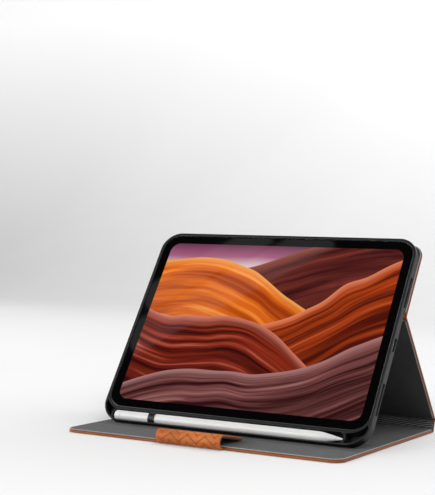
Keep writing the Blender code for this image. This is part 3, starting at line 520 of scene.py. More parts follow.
# %% [markdown]
# ## The pressed herringbone
#
# A heated plate presses a band of herringbone round the whole case, with a straight line on each side.
# Rows run across the band, and the strokes of a row slant the other way from the next row's. Rows of
# one slant overshoot a little, so the strokes look woven. Depth is a bell curve of the distance to the
# nearest stroke.

# %% Pressed lines
CASE_HALF = 126.5
ROW = 8.0
REPEAT = 6.8
STROKE_WIDTH = 0.46
STROKE_FADE = 0.5
OVERSHOOT = 1.3
BAND_LINE = 36.3
BAND_LINE_WIDTH = 0.42
BAND_LINE_DEPTH = 0.85
BAND_STROKES = 33.6
EDGE_LINE = 4.0
EDGE_LINE_WIDTH = 0.40
EDGE_LINE_DEPTH = 0.6


def bell(distance, width):
    """Bell curve: exp(-(distance / width)^2)."""
    return np.exp(-(distance / width) ** 2)


def stroke_distance(across, lean, s):
    """Distance to the nearest stroke of a row. across is measured from the row's lower side."""
    slope = REPEAT / ROW
    phase = s - lean * slope * across
    return np.abs((phase + REPEAT / 2) % REPEAT - REPEAT / 2) / math.hypot(1.0, slope)


def herringbone(x, s, half):
    """1 in the middle of a stroke, 0 on the planks, faded out beyond half from the band's middle."""
    row = np.floor((x + ROW / 2) / ROW)
    across = x + ROW / 2 - row * ROW
    lean = np.where(row % 2 == 0, 1.0, -1.0)
    groove = bell(stroke_distance(across, lean, s), STROKE_WIDTH)
    to_side = np.minimum(across, ROW - across)
    beyond = np.where(across < ROW / 2, across + ROW, across - ROW)
    longer = bell(stroke_distance(beyond, -lean, s), STROKE_WIDTH) * (to_side < OVERSHOOT)
    groove = np.maximum(groove, np.where(lean > 0, longer, 0.0))
    return groove * np.clip((half - np.abs(x)) / STROKE_FADE, 0, 1)


def case_pressing(x, s, inside):
    """Pressed depth from 0 to 1 on the panels. inside is the distance from the free edge."""
    lines = BAND_LINE_DEPTH * bell(np.abs(x) - BAND_LINE, BAND_LINE_WIDTH)
    border = EDGE_LINE_DEPTH * bell(inside - EDGE_LINE, EDGE_LINE_WIDTH)
    return np.maximum(np.maximum(herringbone(x, s, BAND_STROKES), lines), border)


print("herringbone: rows of", ROW, "mm, repeat", REPEAT, "mm")

# %% [markdown]
# ## Leather panels
#
# The outer leather is glued over stiff boards and its edge is turned under, so each panel ends in a
# soft round rim. A displacement texture could press the pattern, but it would need a dense even grid.
# Here the columns lie close together only on the band, the border line and the corners.

# %% Flat leather
LEATHER_THICKNESS = 0.9
PANEL_LOW = 0.6
PRESS_DEPTH = 0.40
RIM_BULGE = 0.35
RIM_MARK = 0.9
TURNED_EDGE = (1.1, 1.25)
# Depth below the top where painted shade on the rim's turned-under face starts, and how far it fades in.
TURNED_SHADE_FROM = 0.3
TURNED_SHADE_FADE = 0.5
UPPER_FACE = 0.2
LEATHER_HALF = CASE_HALF - RIM_BULGE
BAND_HALF = 37.5
BAND_COLUMNS = 151
PLAIN_START = 40.0
PLAIN_STEP = 3.0


def panel_columns(corner):
    """X values: close together on the band, on the border line and round the corners."""
    half = LEATHER_HALF
    right = [np.arange(PLAIN_START, half - EDGE_LINE - 2.0, PLAIN_STEP),
             np.linspace(half - EDGE_LINE - 1.0, half - EDGE_LINE + 1.0, 9)]
    if corner > 0:
        right.append(corner_columns(half, corner, 14))
    right.append([half - 1.0, half])
    return both_sides(np.concatenate(right), np.linspace(-BAND_HALF, BAND_HALF, BAND_COLUMNS))


def rim_mark(inside):
    """1 on the rim, fading out over a narrow strip."""
    return np.clip(1 - inside / RIM_MARK, 0, 1)


def leather_sheet(start, stop, near_corner, far_corner, step):
    """Flat leather between two distances along the case. A corner of None marks an end at a fold."""
    near_round, far_round = near_corner or 0.0, far_corner or 0.0
    low = start + (RIM_BULGE if near_corner is not None else 0.0)
    high = stop - (RIM_BULGE if far_corner is not None else 0.0)

    def inside(x, s):
        distance = CASE_HALF - np.abs(x)
        for corner, gap in ((near_corner, s - start), (far_corner, stop - s)):
            if corner is not None:
                distance = np.minimum(distance, corner_inside(CASE_HALF - np.abs(x), gap, corner))
        return distance

    def free(x, s):
        at_fold = np.zeros_like(x, bool)
        if near_corner is None:
            at_fold |= s < low + AT_END
        if far_corner is None:
            at_fold |= s > high - AT_END
        return np.where(at_fold, 0.0, 1.0)

    def top(x, s):
        return LEATHER_THICKNESS - PRESS_DEPTH * case_pressing(x, s, inside(x, s))

    rows = max(int((high - low) / step), 4)
    points, faces = sheet(panel_columns(max(near_round, far_round)), np.linspace(0, 1, rows + 1),
                          lambda x: low + corner_setback(x, LEATHER_HALF, near_round),
                          lambda x: high - corner_setback(x, LEATHER_HALF, far_round),
                          top, 0.0, RIM_BULGE, TURNED_EDGE, free)
    x, s, h = points.T
    # Painted shade: the rim's turned-under face is darkened through the same mark as the pressed lines.
    turned_under_shade = np.clip((-TURNED_SHADE_FROM - h) / TURNED_SHADE_FADE, 0, 1)
    marks = {"pressed_and_shade": np.maximum(case_pressing(x, s, inside(x, s)) * (h > UPPER_FACE), turned_under_shade),
             "rim": rim_mark(inside(x, s))}
    return points, faces, marks


def panel_place(points, s_start, axis, turn):
    """Leather's outer side is the panel's lower side, so h runs down from the panel's middle."""
    x, s, h = points.T
    return laid(np.column_stack([x, s - s_start, -PANEL_LOW - h]), axis, turn)


# %% [markdown]
# ## The four panels
#
# Distances along the case are the lengths between the hinge axes, so the herringbone runs on without
# a break from the cover to the back. Each panel stops short of its folds and is laid on its own body.

# %% Cover, spine, leg and back
COVER_CORNER = 10.0
BACK_CORNER = 11.0
BACK_LENGTH = 69.65
FOLD_GAP = 1.5
COVER_STEP = 0.62
PANEL_STEP = 0.5
SPINE_S = REAR_FOLD[0] - FLAP_ROOT[0]
LEG_S = SPINE_S + math.dist(REAR_FOLD, SPINE_TOP)
BACK_S = LEG_S + math.dist(SPINE_TOP, CREASE)
BACK_END = BACK_S + BACK_LENGTH
panels = (
    # name, node, body, start, stop, near corner, far corner, step, where s starts, fold axis, turn
    ("cover_skin", "cover_leather", "cover", 0.0, SPINE_S - FOLD_GAP, COVER_CORNER, None, COVER_STEP,
     0.0, COVER_FRONT, 0.0),
    ("spine_skin", "spine_leather", "spine", SPINE_S + FOLD_GAP, LEG_S - FOLD_GAP, None, None, PANEL_STEP,
     SPINE_S, REAR_FOLD, SPINE_TURN),
    ("leg_skin", "leg_leather", "leg", LEG_S + FOLD_GAP, BACK_S - FOLD_GAP, None, None, PANEL_STEP,
     LEG_S, SPINE_TOP, LEG_TURN),
    ("back_skin", "back_leather", "holder", BACK_S + FOLD_GAP, BACK_END, None, BACK_CORNER, PANEL_STEP,
     BACK_S, CREASE, TRAY_TURN),
)
skins = {}
for name, node, body, start, stop, near_corner, far_corner, step, s_start, axis, turn in panels:
    points, faces, marks = leather_sheet(start, stop, near_corner, far_corner, step)
    placed = panel_place(points, s_start, axis, turn)
    skins[name] = new_piece(name, placed, faces, LEATHER, body, (node,), SHEET_SHARP, marks)

# %% [markdown]
# ## Leather across the folds
#
# Between two panels the leather simply bends. Round the outside of a fold it follows an arc about the
# hinge axis. At the crease it lies on the inside of the bend, so its arc has its middle behind the
# case. Each strip follows one panel at one end and the next panel at the other.

# %% Flat strips and their bends
def strip(length, pattern_start, pattern_length, thickness, relief, rows=12, bulge=RIM_BULGE):
    """Flat strip for a fold, with its relief read at the matching place along the case."""
    half = CASE_HALF - bulge

    def free(x, s):
        return np.where((s < AT_END) | (s > length - AT_END), 0.0, 1.0)

    def top(x, s):
        return thickness - relief(x, pattern_start + s / length * pattern_length)

    return sheet(np.clip(panel_columns(0.0), -half, half), np.linspace(0, 1, rows + 1),
                 straight_edge(0.0), straight_edge(length), top, 0.0, bulge, free=free, full=True)


def outer_bend(points, length, axis, first, second):
    """Flat strip round the outside of a fold: straight, an arc about the axis, straight."""
    x, s, h = points.T
    arc_length = length - 2 * FOLD_GAP
    swept = np.clip((s - FOLD_GAP) / arc_length, 0, 1) * (second - first)
    angle = first - math.pi / 2 + swept
    before = np.minimum(s - FOLD_GAP, 0)
    after = np.maximum(s - FOLD_GAP - arc_length, 0)
    radius = PANEL_LOW + h
    y = axis[0] + radius * np.cos(angle) + before * math.cos(first) + after * math.cos(second)
    z = axis[1] + radius * np.sin(angle) + before * math.sin(first) + after * math.sin(second)
    return np.column_stack([x, y, z])


def inner_bend(points, length, axis, first, second, offset, reach, side, sag=0.0):
    """Flat strip on the inside of a fold: an arc that touches both panels' faces at reach from the axis.

    offset is the outer face's height over the panels' middle. side is 1 on the lining's side and -1
    on the leather's side. sag lets the strip's middle sink towards the axis.
    """
    x, s, h = points.T
    half = abs(second - first) / 2
    radius = (reach - offset * math.tan(half)) / math.tan(half)
    middle = (first + second) / 2 + side * math.pi / 2
    away = (offset + radius) / math.cos(half)
    centre = (axis[0] + away * math.cos(middle), axis[1] + away * math.sin(middle))
    angle = first + side * math.pi / 2 + math.pi + s / length * (second - first)
    distance = radius + h.max() - h + sag * np.sin(math.pi * s / length)
    return np.column_stack([x, centre[0] + distance * np.cos(angle), centre[1] + distance * np.sin(angle)])


# %% [markdown]
# ## The three leather folds
#
# A fold lies between two panels. Its strip is bent once, as the case stands, from the first panel's
# face to the second's, and it is tied to neither body.

# %% Fold strips
FOLD_DEPTH = 1.05


def fold_relief(x, s):
    """Depth of the pressed pattern on a strip, whose only free edges are its sides."""
    return PRESS_DEPTH * case_pressing(x, s, CASE_HALF - np.abs(x))


def fold_marks(points, length, pattern_start):
    """Marks for the leather, read at the same place along the case as the relief."""
    x, s, h = points.T
    inside = CASE_HALF - np.abs(x)
    pressed_and_shade = case_pressing(x, pattern_start + s / length * 2 * FOLD_GAP, inside) * (h > UPPER_FACE)
    return {"pressed_and_shade": pressed_and_shade, "rim": rim_mark(inside)}


def on_panel(axis, turn, along, up):
    """Point on a panel's middle plane and up from it, in metres, for the start or end of a bend."""
    return tuple(MM * laid((0.0, along, up), axis, turn))


folds = (
    ("rear_fold_skin", "rear_fold", REAR_FOLD, 0.0, SPINE_TURN, SPINE_S, "cover", "spine"),
    ("spine_fold_skin", "spine_fold", SPINE_TOP, SPINE_TURN, LEG_TURN, LEG_S, "spine", "leg"),
    ("crease_skin", "crease_fold", CREASE, LEG_TURN, TRAY_TURN, BACK_S, "leg", "holder"),
)
for name, node, axis, first, second, s_middle, body, next_body in folds:
    concave = second < first
    arc_length = (PANEL_LOW + LEATHER_THICKNESS / 2) * abs(second - first)
    length = arc_length + (0.0 if concave else 2 * FOLD_GAP)
    points, faces = strip(length, s_middle - FOLD_GAP, 2 * FOLD_GAP, LEATHER_THICKNESS, fold_relief)
    marks = fold_marks(points, length, s_middle - FOLD_GAP)
    if concave:
        bent = inner_bend(points, length, axis, first, second, PANEL_LOW + LEATHER_THICKNESS, FOLD_GAP, -1)
    else:
        bent = outer_bend(points, length, axis, first, second)
    piece = new_piece(name, bent, faces, LEATHER, None, (node,), SHEET_SHARP, marks)
    on_panel(axis, first, -FOLD_GAP, -FOLD_DEPTH)
    on_panel(axis, second, FOLD_GAP, -FOLD_DEPTH)
    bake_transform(piece)

# %% [markdown]
# ## Lining
#
# The inside is dark grey microfibre, paler in a line along its rim, which is a mark on the points
# near the rim. A texture could paint that line, but a mark follows the round corners by itself.

# %% Flat lining
LINING_LOW = 0.8
LINING_THICKNESS = 0.7
LINING_INSET = 0.6
LINING_BULGE = 0.28
LINING_COLUMNS = 1.5
PALE_EDGE = 0.85
PALE_FADE = 0.3
EDGE_COLUMNS = np.array([0.0, 0.3, 0.6, 0.9, 1.3])


def lining_sheet(start, stop, corner, relief, step, free_near, columns=LINING_COLUMNS):
    """Flat lining. The corner rounds its near end, which is free where free_near is set."""
    half = CASE_HALF - LINING_INSET - LINING_BULGE
    low = start + (LINING_BULGE if free_near else 0.0)

    def free(x, s):
        at_fold = s > stop - AT_END
        if not free_near:
            at_fold |= s < low + AT_END
        return np.where(at_fold, 0.0, 1.0)

    def inside(x, s):
        side = half + LINING_BULGE - np.abs(x)
        return corner_inside(side, s - start, corner) if free_near else side

    turning = corner_columns(half, corner, 16) if corner else np.array([half])
    right = [np.arange(columns, half - max(corner, LINING_COLUMNS), columns), turning, half - EDGE_COLUMNS]
    rows = max(int((stop - low) / step), 6)
    points, faces = sheet(both_sides(np.concatenate(right)), np.linspace(0, 1, rows + 1),
                          lambda x: low + corner_setback(x, half, corner), straight_edge(stop),
                          lambda x, s: LINING_THICKNESS - relief(x, s), 0.0, LINING_BULGE, free=free)
    x, s = points.T[:2]
    return points, faces, {"rim": np.clip((PALE_EDGE - inside(x, s)) / PALE_FADE, 0, 1)}


def lining_place(points, s_start, axis, turn):
    """The lining's outer side is the panel's upper side, so h runs up from the panel's middle."""
    x, s, h = points.T
    return laid(np.column_stack([x, s - s_start, LINING_LOW + h]), axis, turn)


# %% [markdown]
# ## Lining of the cover and the leg
#
# Two shallow lines pressed across the cover keep the tray's foot from sliding. The rest of a glued
# lining is never quite flat, so a very low product of two sines makes it wavy.

# %% Cover and leg lining
FOLD_SETBACK = 2.2
CREASE_SETBACK = 4.0
GROOVES = (44.0, 77.0)
GROOVE_DEPTH = 0.34
GROOVE_WIDTH = 0.8
GROOVE_SHADE = 0.8
GROOVE_SHADE_WIDTH = 0.9
COVER_LINING_STEP = 0.6
PLAIN_LINING_STEP = 1.5


def cover_relief(x, s):
    """Two pressed lines across the cover, bell curves of s, and a faint product of two sines."""
    lines = sum(GROOVE_DEPTH * bell(s - place, GROOVE_WIDTH) for place in GROOVES)
    return lines + 0.02 * np.sin(x / 11.0) * np.sin(s / 9.0)


def plain_relief(x, s):
    """Faint waviness: a product of two sines."""
    return 0.03 * np.sin(x / 13.0 + 0.5) * np.sin(s / 8.0)


points, faces, marks = lining_sheet(LINING_INSET, SPINE_S - FOLD_SETBACK, COVER_CORNER - LINING_INSET,
                                    cover_relief, COVER_LINING_STEP, True)
# Painted shade in the two pressed lines across the cover.
marks["pressed_and_shade"] = sum(GROOVE_SHADE * bell(points[:, 1] - place, GROOVE_SHADE_WIDTH) for place in GROOVES)
new_piece("cover_felt", lining_place(points, 0.0, COVER_FRONT, 0.0), faces, FELT, "cover",
          ("cover_lining",), SHEET_SHARP, marks)
points, faces, marks = lining_sheet(LEG_S + FOLD_SETBACK, BACK_S - CREASE_SETBACK, 0.0, plain_relief,
                                    PLAIN_LINING_STEP, False)
new_piece("leg_felt", lining_place(points, LEG_S, SPINE_TOP, LEG_TURN), faces, FELT, "leg",
          ("leg_lining",), SHEET_SHARP, marks)

# %% [markdown]
# ## Ribs inside the spine
#
# Inside the spine the lining is pressed into ribs, so that it folds without creasing. They start level
# at the spine's ends and slant down inwards. A cosine across the ribs gives their height, and a slant
# that grows with the distance from the end moves the cosine along.

# %% Spine ribs
RIB_PITCH = 2.0
RIB_HEIGHT = 0.45
RIB_SLANT = 0.31
RIB_LEVEL = 8.0
RIB_COLUMNS = 0.7
RIB_STEP = 0.2


def rib_valley(x, s):
    """1 between two ribs, 0 on a crest: half a cosine of s + slant * inward^2 / (inward + level)."""
    inward = np.maximum(CASE_HALF - np.abs(x), 0)
    slant = RIB_SLANT * inward ** 2 / (inward + RIB_LEVEL)
    return 0.5 - 0.5 * np.cos(2 * math.pi * (s + slant) / RIB_PITCH)


def rib_relief(x, s):
    """How far the lining sinks between two ribs."""
    return RIB_HEIGHT * rib_valley(x, s)


def rib_marks(x, s):
    """Painted shade in the valleys and a painted highlight on the crests, for the material."""
    valley = rib_valley(x, s)
    return {"pressed_and_shade": valley, "rib_highlight": 1 - valley}


points, faces = lining_sheet(SPINE_S + FOLD_SETBACK, LEG_S - FOLD_SETBACK, 0.0, rib_relief, RIB_STEP,
                             False, RIB_COLUMNS)[:2]
new_piece("spine_ribs", lining_place(points, SPINE_S, REAR_FOLD, SPINE_TURN), faces, FELT, "spine",
          ("spine_lining",), SHEET_SHARP, rib_marks(points[:, 0], points[:, 1]))

# %% [markdown]
# ## Ribs round the two spine folds
#
# The ribbed lining runs on over both folds of the spine, on the inside of the bend. It is the same
# kind of strip as the leather's, bent along an inner arc, and it sags a little towards the hinge axis
# because the lining is loose there.

# %% Ribbed folds
LINING_SAG = 0.5
RIBBED_LENGTH = 2.6
RIBBED_ROWS = 16
RIBBED_UP = 1.2
for name, axis, first, second, s_middle, body, next_body in (
        ("rear_fold_ribs", REAR_FOLD, 0.0, SPINE_TURN, SPINE_S, "cover", "spine"),
        ("spine_fold_ribs", SPINE_TOP, SPINE_TURN, LEG_TURN, LEG_S, "spine", "leg")):
    points, faces = strip(RIBBED_LENGTH, s_middle - FOLD_SETBACK, 2 * FOLD_SETBACK, LINING_THICKNESS,
                          rib_relief, RIBBED_ROWS, LINING_INSET + LINING_BULGE)
    bent = inner_bend(points, RIBBED_LENGTH, axis, first, second, LINING_LOW + LINING_THICKNESS,
                      FOLD_SETBACK, 1, LINING_SAG)
    marks = rib_marks(points[:, 0], s_middle + FOLD_SETBACK * (2 * points[:, 1] / RIBBED_LENGTH - 1))
    piece = new_piece(name, bent, faces, FELT, None, (), SHEET_SHARP, marks)
    on_panel(axis, first, -FOLD_SETBACK, RIBBED_UP)
    on_panel(axis, second, FOLD_SETBACK, RIBBED_UP)
    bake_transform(piece)

# %% [markdown]
# ## The closing flap
#
# The flap grows from the cover's front edge, curls up and lies back over the lining. Its section is an
# arc of about half a turn and a straight tongue that touches the arc. A Curve modifier could bend it,
# but a formula keeps all four layers in step: lining, board, magnet and leather, each at its radius.

# %% Section of the flap
FLAP_X = joints["flap_hinge"]["pos_m"][0] / MM
FLAP_HALF = 29.5
FLAP_LOOP = 6.0
FLAP_INNER = 4.0
FLAP_REACH = 35.4
FLAP_CORNER = 7.0
FLAP_TAIL = 0.5
PANEL = 3.0
CLEARANCE = 0.3
LOOP_MIDDLE = np.array([-CLEARANCE, FLAP_LOOP])
to_tip = np.array([FLAP_REACH, PANEL + CLEARANCE]) - LOOP_MIDDLE
FLAP_TANGENT = math.atan2(to_tip[1], to_tip[0]) + math.acos(FLAP_INNER / np.hypot(*to_tip))
FLAP_SWEEP = 1.5 * math.pi - FLAP_TANGENT
FLAP_ARC = FLAP_LOOP * FLAP_SWEEP
FLAP_LENGTH = FLAP_ARC + math.sqrt(to_tip @ to_tip - FLAP_INNER ** 2)
print("flap: length", round(FLAP_LENGTH, 1), "mm, arc", round(math.degrees(FLAP_SWEEP), 1), "degrees")


def flap_bend(points, base):
    """Flat flap wrapped along its section: a short tail under the cover's edge, the arc, the tongue."""
    x, s, h = points.T
    radius = base + h
    angle = 1.5 * math.pi - np.clip(s / FLAP_ARC, 0, 1) * FLAP_SWEEP
    tail = np.minimum(s, 0)
    tongue = np.maximum(s - FLAP_ARC, 0)
    y = LOOP_MIDDLE[0] + radius * np.cos(angle) - tail + tongue * math.sin(FLAP_TANGENT)
    z = LOOP_MIDDLE[1] + radius * np.sin(angle) - tongue * math.cos(FLAP_TANGENT)
    return np.column_stack([x + FLAP_X, FLAP_ROOT[0] + y, FLAP_ROOT[1] + z])


def flap_sheet(thickness, inset, bulge, relief, step, start=-FLAP_TAIL, short=0.0, lip=(0.0, 0.0)):
    """Flat layer of the flap: a strip with two round corners, its far end short of the tip."""
    half = FLAP_HALF - inset
    length = FLAP_LENGTH - inset - short
    corner = FLAP_CORNER - inset

    def free(x, s):
        return np.where(s < start + AT_END, 0.0, 1.0)

    right = np.concatenate([np.arange(step, half - corner, step), corner_columns(half, corner, 14)])
    rows = int((length - start) / step)
    return sheet(both_sides(right), np.linspace(0, 1, rows + 1), straight_edge(start),
                 lambda x: length - corner_setback(x, half, corner),
                 lambda x, s: thickness - relief(x, s), 0.0, bulge, lip, free=free, full=True)


# %% [markdown]
# ## Layers of the flap
#
# The leather carries its own herringbone, which stops short of the rim, and its edge is turned under.
# Between leather and lining lies a thin board, and near the tip a flat magnet that holds the case shut.

# %% Flap leather and lining
FLAP_LEATHER = 0.7
FLAP_LINING = 0.4
FLAP_PRESS_DEPTH = 0.36
FLAP_TURNED_EDGE = (0.6, 0.85)
LEATHER_ROUND = 0.3
LINING_ROUND = 0.2
WHOLE_FLAP = 100.0
FLAP_MARGIN = 1.6
FLAP_FADE = 0.8
FLAP_RIM = 0.2
FLAP_UPPER_FACE = 0.15
PRESSED_STEP = 0.5
FLAT_STEP = 1.0


def flap_inside(x, s):
    """Distance from the flap's rim."""
    return corner_inside(FLAP_HALF - np.abs(x), FLAP_LENGTH - s, FLAP_CORNER)


def flap_pressing(x, s):
    """Herringbone over the whole flap, with a join in its middle, faded out towards the rim."""
    faded = np.clip((flap_inside(x, s) - FLAP_MARGIN) / FLAP_FADE, 0, 1)
    return herringbone(x + ROW / 2, s, WHOLE_FLAP) * faded


points, faces = flap_sheet(FLAP_LEATHER, LEATHER_ROUND, LEATHER_ROUND,
                           lambda x, s: FLAP_PRESS_DEPTH * flap_pressing(x, s), PRESSED_STEP,
                           lip=FLAP_TURNED_EDGE)
x, s, h = points.T
marks = {"pressed_and_shade": flap_pressing(x, s) * (h > FLAP_UPPER_FACE),
         "rim": FLAP_RIM * rim_mark(flap_inside(x, s))}
new_piece("flap_skin", flap_bend(points, FLAP_LOOP - FLAP_LEATHER), faces, LEATHER, "flap",
          ("flap_leather",), SHEET_SHARP, marks)
points, faces = flap_sheet(FLAP_LINING, LINING_ROUND, LINING_ROUND, no_relief, FLAT_STEP)
x, s, h = points.T
new_piece("flap_felt", flap_bend(np.column_stack([x, s, FLAP_LINING - h]), FLAP_INNER), faces, FELT, "flap",
          ("flap_lining",), SHEET_SHARP, {"rim": np.zeros(len(points))})

# %% Flap board and magnet
FLAP_BOARD = 0.5
FLAP_GLUE = 0.2
BOARD_INSET = 1.2
MAGNET_HALF = 13.0
MAGNET_START = FLAP_LENGTH - 17.0
MAGNET_STOP = FLAP_LENGTH - 8.0
board_base = FLAP_INNER + FLAP_LINING + FLAP_GLUE
board_short = FLAP_LENGTH - MAGNET_START - BOARD_INSET + CLEARANCE
points, faces = flap_sheet(FLAP_BOARD, BOARD_INSET, 0.0, no_relief, FLAT_STEP, BOARD_INSET, board_short)
new_piece("flap_board", flap_bend(points, board_base), faces, GREYBOARD, "flap", ("flap_stiffener",))
points, faces = sheet(np.linspace(-MAGNET_HALF, MAGNET_HALF, 3), np.linspace(0, 1, 3),
                      straight_edge(MAGNET_START), straight_edge(MAGNET_STOP),
                      lambda x, s: 0 * x + FLAP_BOARD, 0.0, 0.0, full=True)
new_piece("flap_catch", flap_bend(points, board_base), faces, STEEL, "flap", ("flap_magnet",))

# %% [markdown]
# ## The tray
#
# The tray is one moulding of black rubber: a shallow box with rounded back edges, a lip over the
# glass, and a deep foot with a trough for the stylus. Its outer form is a stack of rounded outlines.
# Openings are cut from it, and each cutter flares where it leaves the surface, which leaves a rounded
# edge there as a mould does.

# %% Sizes of the tray
TABLET = (247.6, 178.5, 16.0)
TABLET_Y = -20.9
TABLET_BACK = 3.2
TRAY_HALF = 125.6
TRAY_LOW = -122.4
TRAY_HIGH = 70.15
TRAY_BACK = 1.7
TRAY_FRONT = 10.3
FOOT_CORNER = 19.5
TOP_CORNER = 17.8
STYLUS_Y = -116.5
STYLUS_Z = 7.35
TROUGH = 4.75
OUTSIDE = 140.0
print(f"tray: {2 * TRAY_HALF:.1f} x {TRAY_HIGH - TRAY_LOW:.1f} x {TRAY_FRONT - TRAY_BACK:.1f} mm")

# %% Outlines and stacks
ARC_STEPS = 16
QUARTER = math.pi / 2


def arc_points(centre, radius, start, stop, steps=ARC_STEPS):
    """Points on a circle between two angles in degrees."""
    angle = np.radians(np.linspace(start, stop, steps + 1))
    return np.column_stack([centre[0] + radius * np.cos(angle), centre[1] + radius * np.sin(angle)])


def rounded_outline(left, right, bottom, top, low_corner, high_corner, inset=0.0):
    """Rounded rectangle, counter-clockwise, with one radius below and one above."""
    left, right, bottom, top = left + inset, right - inset, bottom + inset, top - inset
    low, high = max(low_corner - inset, 0.01), max(high_corner - inset, 0.01)
    return np.concatenate([arc_points((left + low, bottom + low), low, 180, 270),
                           arc_points((right - low, bottom + low), low, 270, 360),
                           arc_points((right - high, top - high), high, 0, 90),
                           arc_points((left + high, top - high), high, 90, 180)])


def pill_outline(length, width, middle=(0.0, 0.0)):
    """Two half circles joined by straight sides."""
    half = length / 2 - width / 2
    ends = [arc_points((half, 0.0), width / 2, -90, 90), arc_points((-half, 0.0), width / 2, 90, 270)]
    return np.concatenate(ends) + np.asarray(middle)


def tablet_outline(inset):
    """The tablet's own outline, drawn in by inset."""
    width, height, corner = TABLET
    low, high = TABLET_Y - height / 2, TABLET_Y + height / 2
    return rounded_outline(-width / 2, width / 2, low, high, corner, corner, inset)


def stacked(outlines, heights):
    """Closed stack of equal outlines, capped at both ends: points and faces."""
    loops = [np.column_stack([outline, np.full(len(outline), z)]) for outline, z in zip(outlines, heights)]
    count = len(loops[0])
    faces = grid_faces(len(loops), count, close_columns=True)[:, ::-1].tolist()
    last = (len(loops) - 1) * count
    faces.append(list(range(count))[::-1])
    faces.append(list(range(last, last + count)))
    return np.concatenate(loops), faces


def sideways(points):
    """Stack along z turned on its side, so that it runs along x."""
    return points[:, [2, 0, 1]]


def along_x(section, left, right):
    """Section in y and z carried along x."""
    points, faces = stacked([section, section], [left, right])
    return sideways(points), faces


def grown(outline, amount):
    """Outline moved outwards along its own normals."""
    tangent = np.roll(outline, -1, 0) - np.roll(outline, 1, 0)
    normal = np.column_stack([tangent[:, 1], -tangent[:, 0]])
    return outline + amount * normal / np.linalg.norm(normal, axis=1, keepdims=True)


def flared(outline, low, high, flare, beyond=3.0, steps=5):
    """Cutter from low to high that widens by flare over a quarter round, then runs on beyond."""
    angles = np.linspace(0, QUARTER, steps + 1)
    outlines = [outline] + [grown(outline, flare * (1 - math.cos(angle))) for angle in angles]
    heights = [low] + [high - flare + flare * math.sin(angle) for angle in angles]
    outlines.append(outlines[-1])
    heights.append(high + beyond)
    return stacked(outlines, heights)


# %% [markdown]
# ## Cutting
#
# A Boolean modifier cuts one mesh with another. The tray is cut while it still lies flat, because the
# exact solver is surest when faces line up with the axes. The modifiers are then made final, the
# cutters are deleted, and the finished points are laid at the tray's angle.

# %% Cutting helpers
def solid(name, points, faces):
    """Plain object for the cutting, in the coordinates of its points."""
    return linked(name, welded_mesh(name, points, faces, CUTTER_WELD))


def carve(piece, cutters, operation="DIFFERENCE"):
    """Takes every cutter out of the piece for good, or keeps what they share, and deletes the cutters."""
    for cutter in cutters:
        step = piece.modifiers.new(cutter.name, "BOOLEAN")
        step.operation = operation
        step.solver = "EXACT"
        step.object = cutter
    bpy.context.view_layer.update()
    cut = bpy.data.meshes.new_from_object(piece.evaluated_get(bpy.context.evaluated_depsgraph_get()))
    piece.modifiers.clear()
    old, piece.data = piece.data, cut
    bpy.data.meshes.remove(old)
    for cutter in cutters:
        bpy.data.objects.remove(cutter, do_unlink=True)
    print(piece.name, "carved:", len(cut.polygons), "faces")


def points_and_faces(piece):
    """Millimetre points and faces of an object's mesh."""
    flat = np.empty(3 * len(piece.data.vertices), np.float32)
    piece.data.vertices.foreach_get("co", flat)
    faces = [list(face.vertices) for face in piece.data.polygons]
    return flat.reshape(-1, 3).astype(float) / MM, faces


def taken_apart(piece):
    """Points and faces of an object that is then deleted."""
    points, faces = points_and_faces(piece)
    bpy.data.objects.remove(piece, do_unlink=True)
    return points, faces


def tray_place(points):
    """Flat tray coordinates turned to the tray's angle at the crease."""
    return laid(points, CREASE, TRAY_TURN)


# %% [markdown]
# ## The tray's block and the tablet's pocket
#
# The block has round edges front and back: each outline of the stack is drawn in by a quarter round.
# A cutter rounds the heel along the foot. The pocket is the tablet's outline, drawn in again above the
# glass, which leaves the thin lip that holds the tablet.

# %% Tray block
BACK_ROUND = 2.0
FRONT_ROUND = 0.75
BACK_INSET = 0.5
FRONT_INSET = 0.25
quarter_round = np.linspace(0, QUARTER, 8)
insets = [BACK_ROUND + BACK_INSET] + list(BACK_ROUND * (1 - np.sin(quarter_round)))
insets += list(FRONT_ROUND * (1 - np.cos(quarter_round))) + [FRONT_ROUND + FRONT_INSET]
heights = [TRAY_BACK] + list(TRAY_BACK + BACK_ROUND * (1 - np.cos(quarter_round)))
heights += list(TRAY_FRONT - FRONT_ROUND * (1 - np.sin(quarter_round))) + [TRAY_FRONT]
outlines = [rounded_outline(-TRAY_HALF, TRAY_HALF, TRAY_LOW, TRAY_HIGH, FOOT_CORNER, TOP_CORNER, inset)
            for inset in insets]
tray_block = solid("tray_block", *stacked(outlines, heights))
cutters = []


def tray_cutter(name, points, faces):
    """One more cutter for the tray. All of them are taken out together at the end."""
    cutters.append(solid(name, points, faces))
    print("cutter:", name)


# %% Heel and pocket
HEEL = 5.0
BEYOND = 3.0
heel_arc = arc_points((TRAY_LOW + HEEL, TRAY_BACK + HEEL), HEEL, 270, 180, 18)
heel = np.concatenate([[(TRAY_LOW - BEYOND, TRAY_BACK + HEEL), (TRAY_LOW - BEYOND, TRAY_BACK - BEYOND),
                        (TRAY_LOW + HEEL, TRAY_BACK - BEYOND)], heel_arc])
tray_cutter("heel_cutter", *along_x(heel, -OUTSIDE, OUTSIDE))

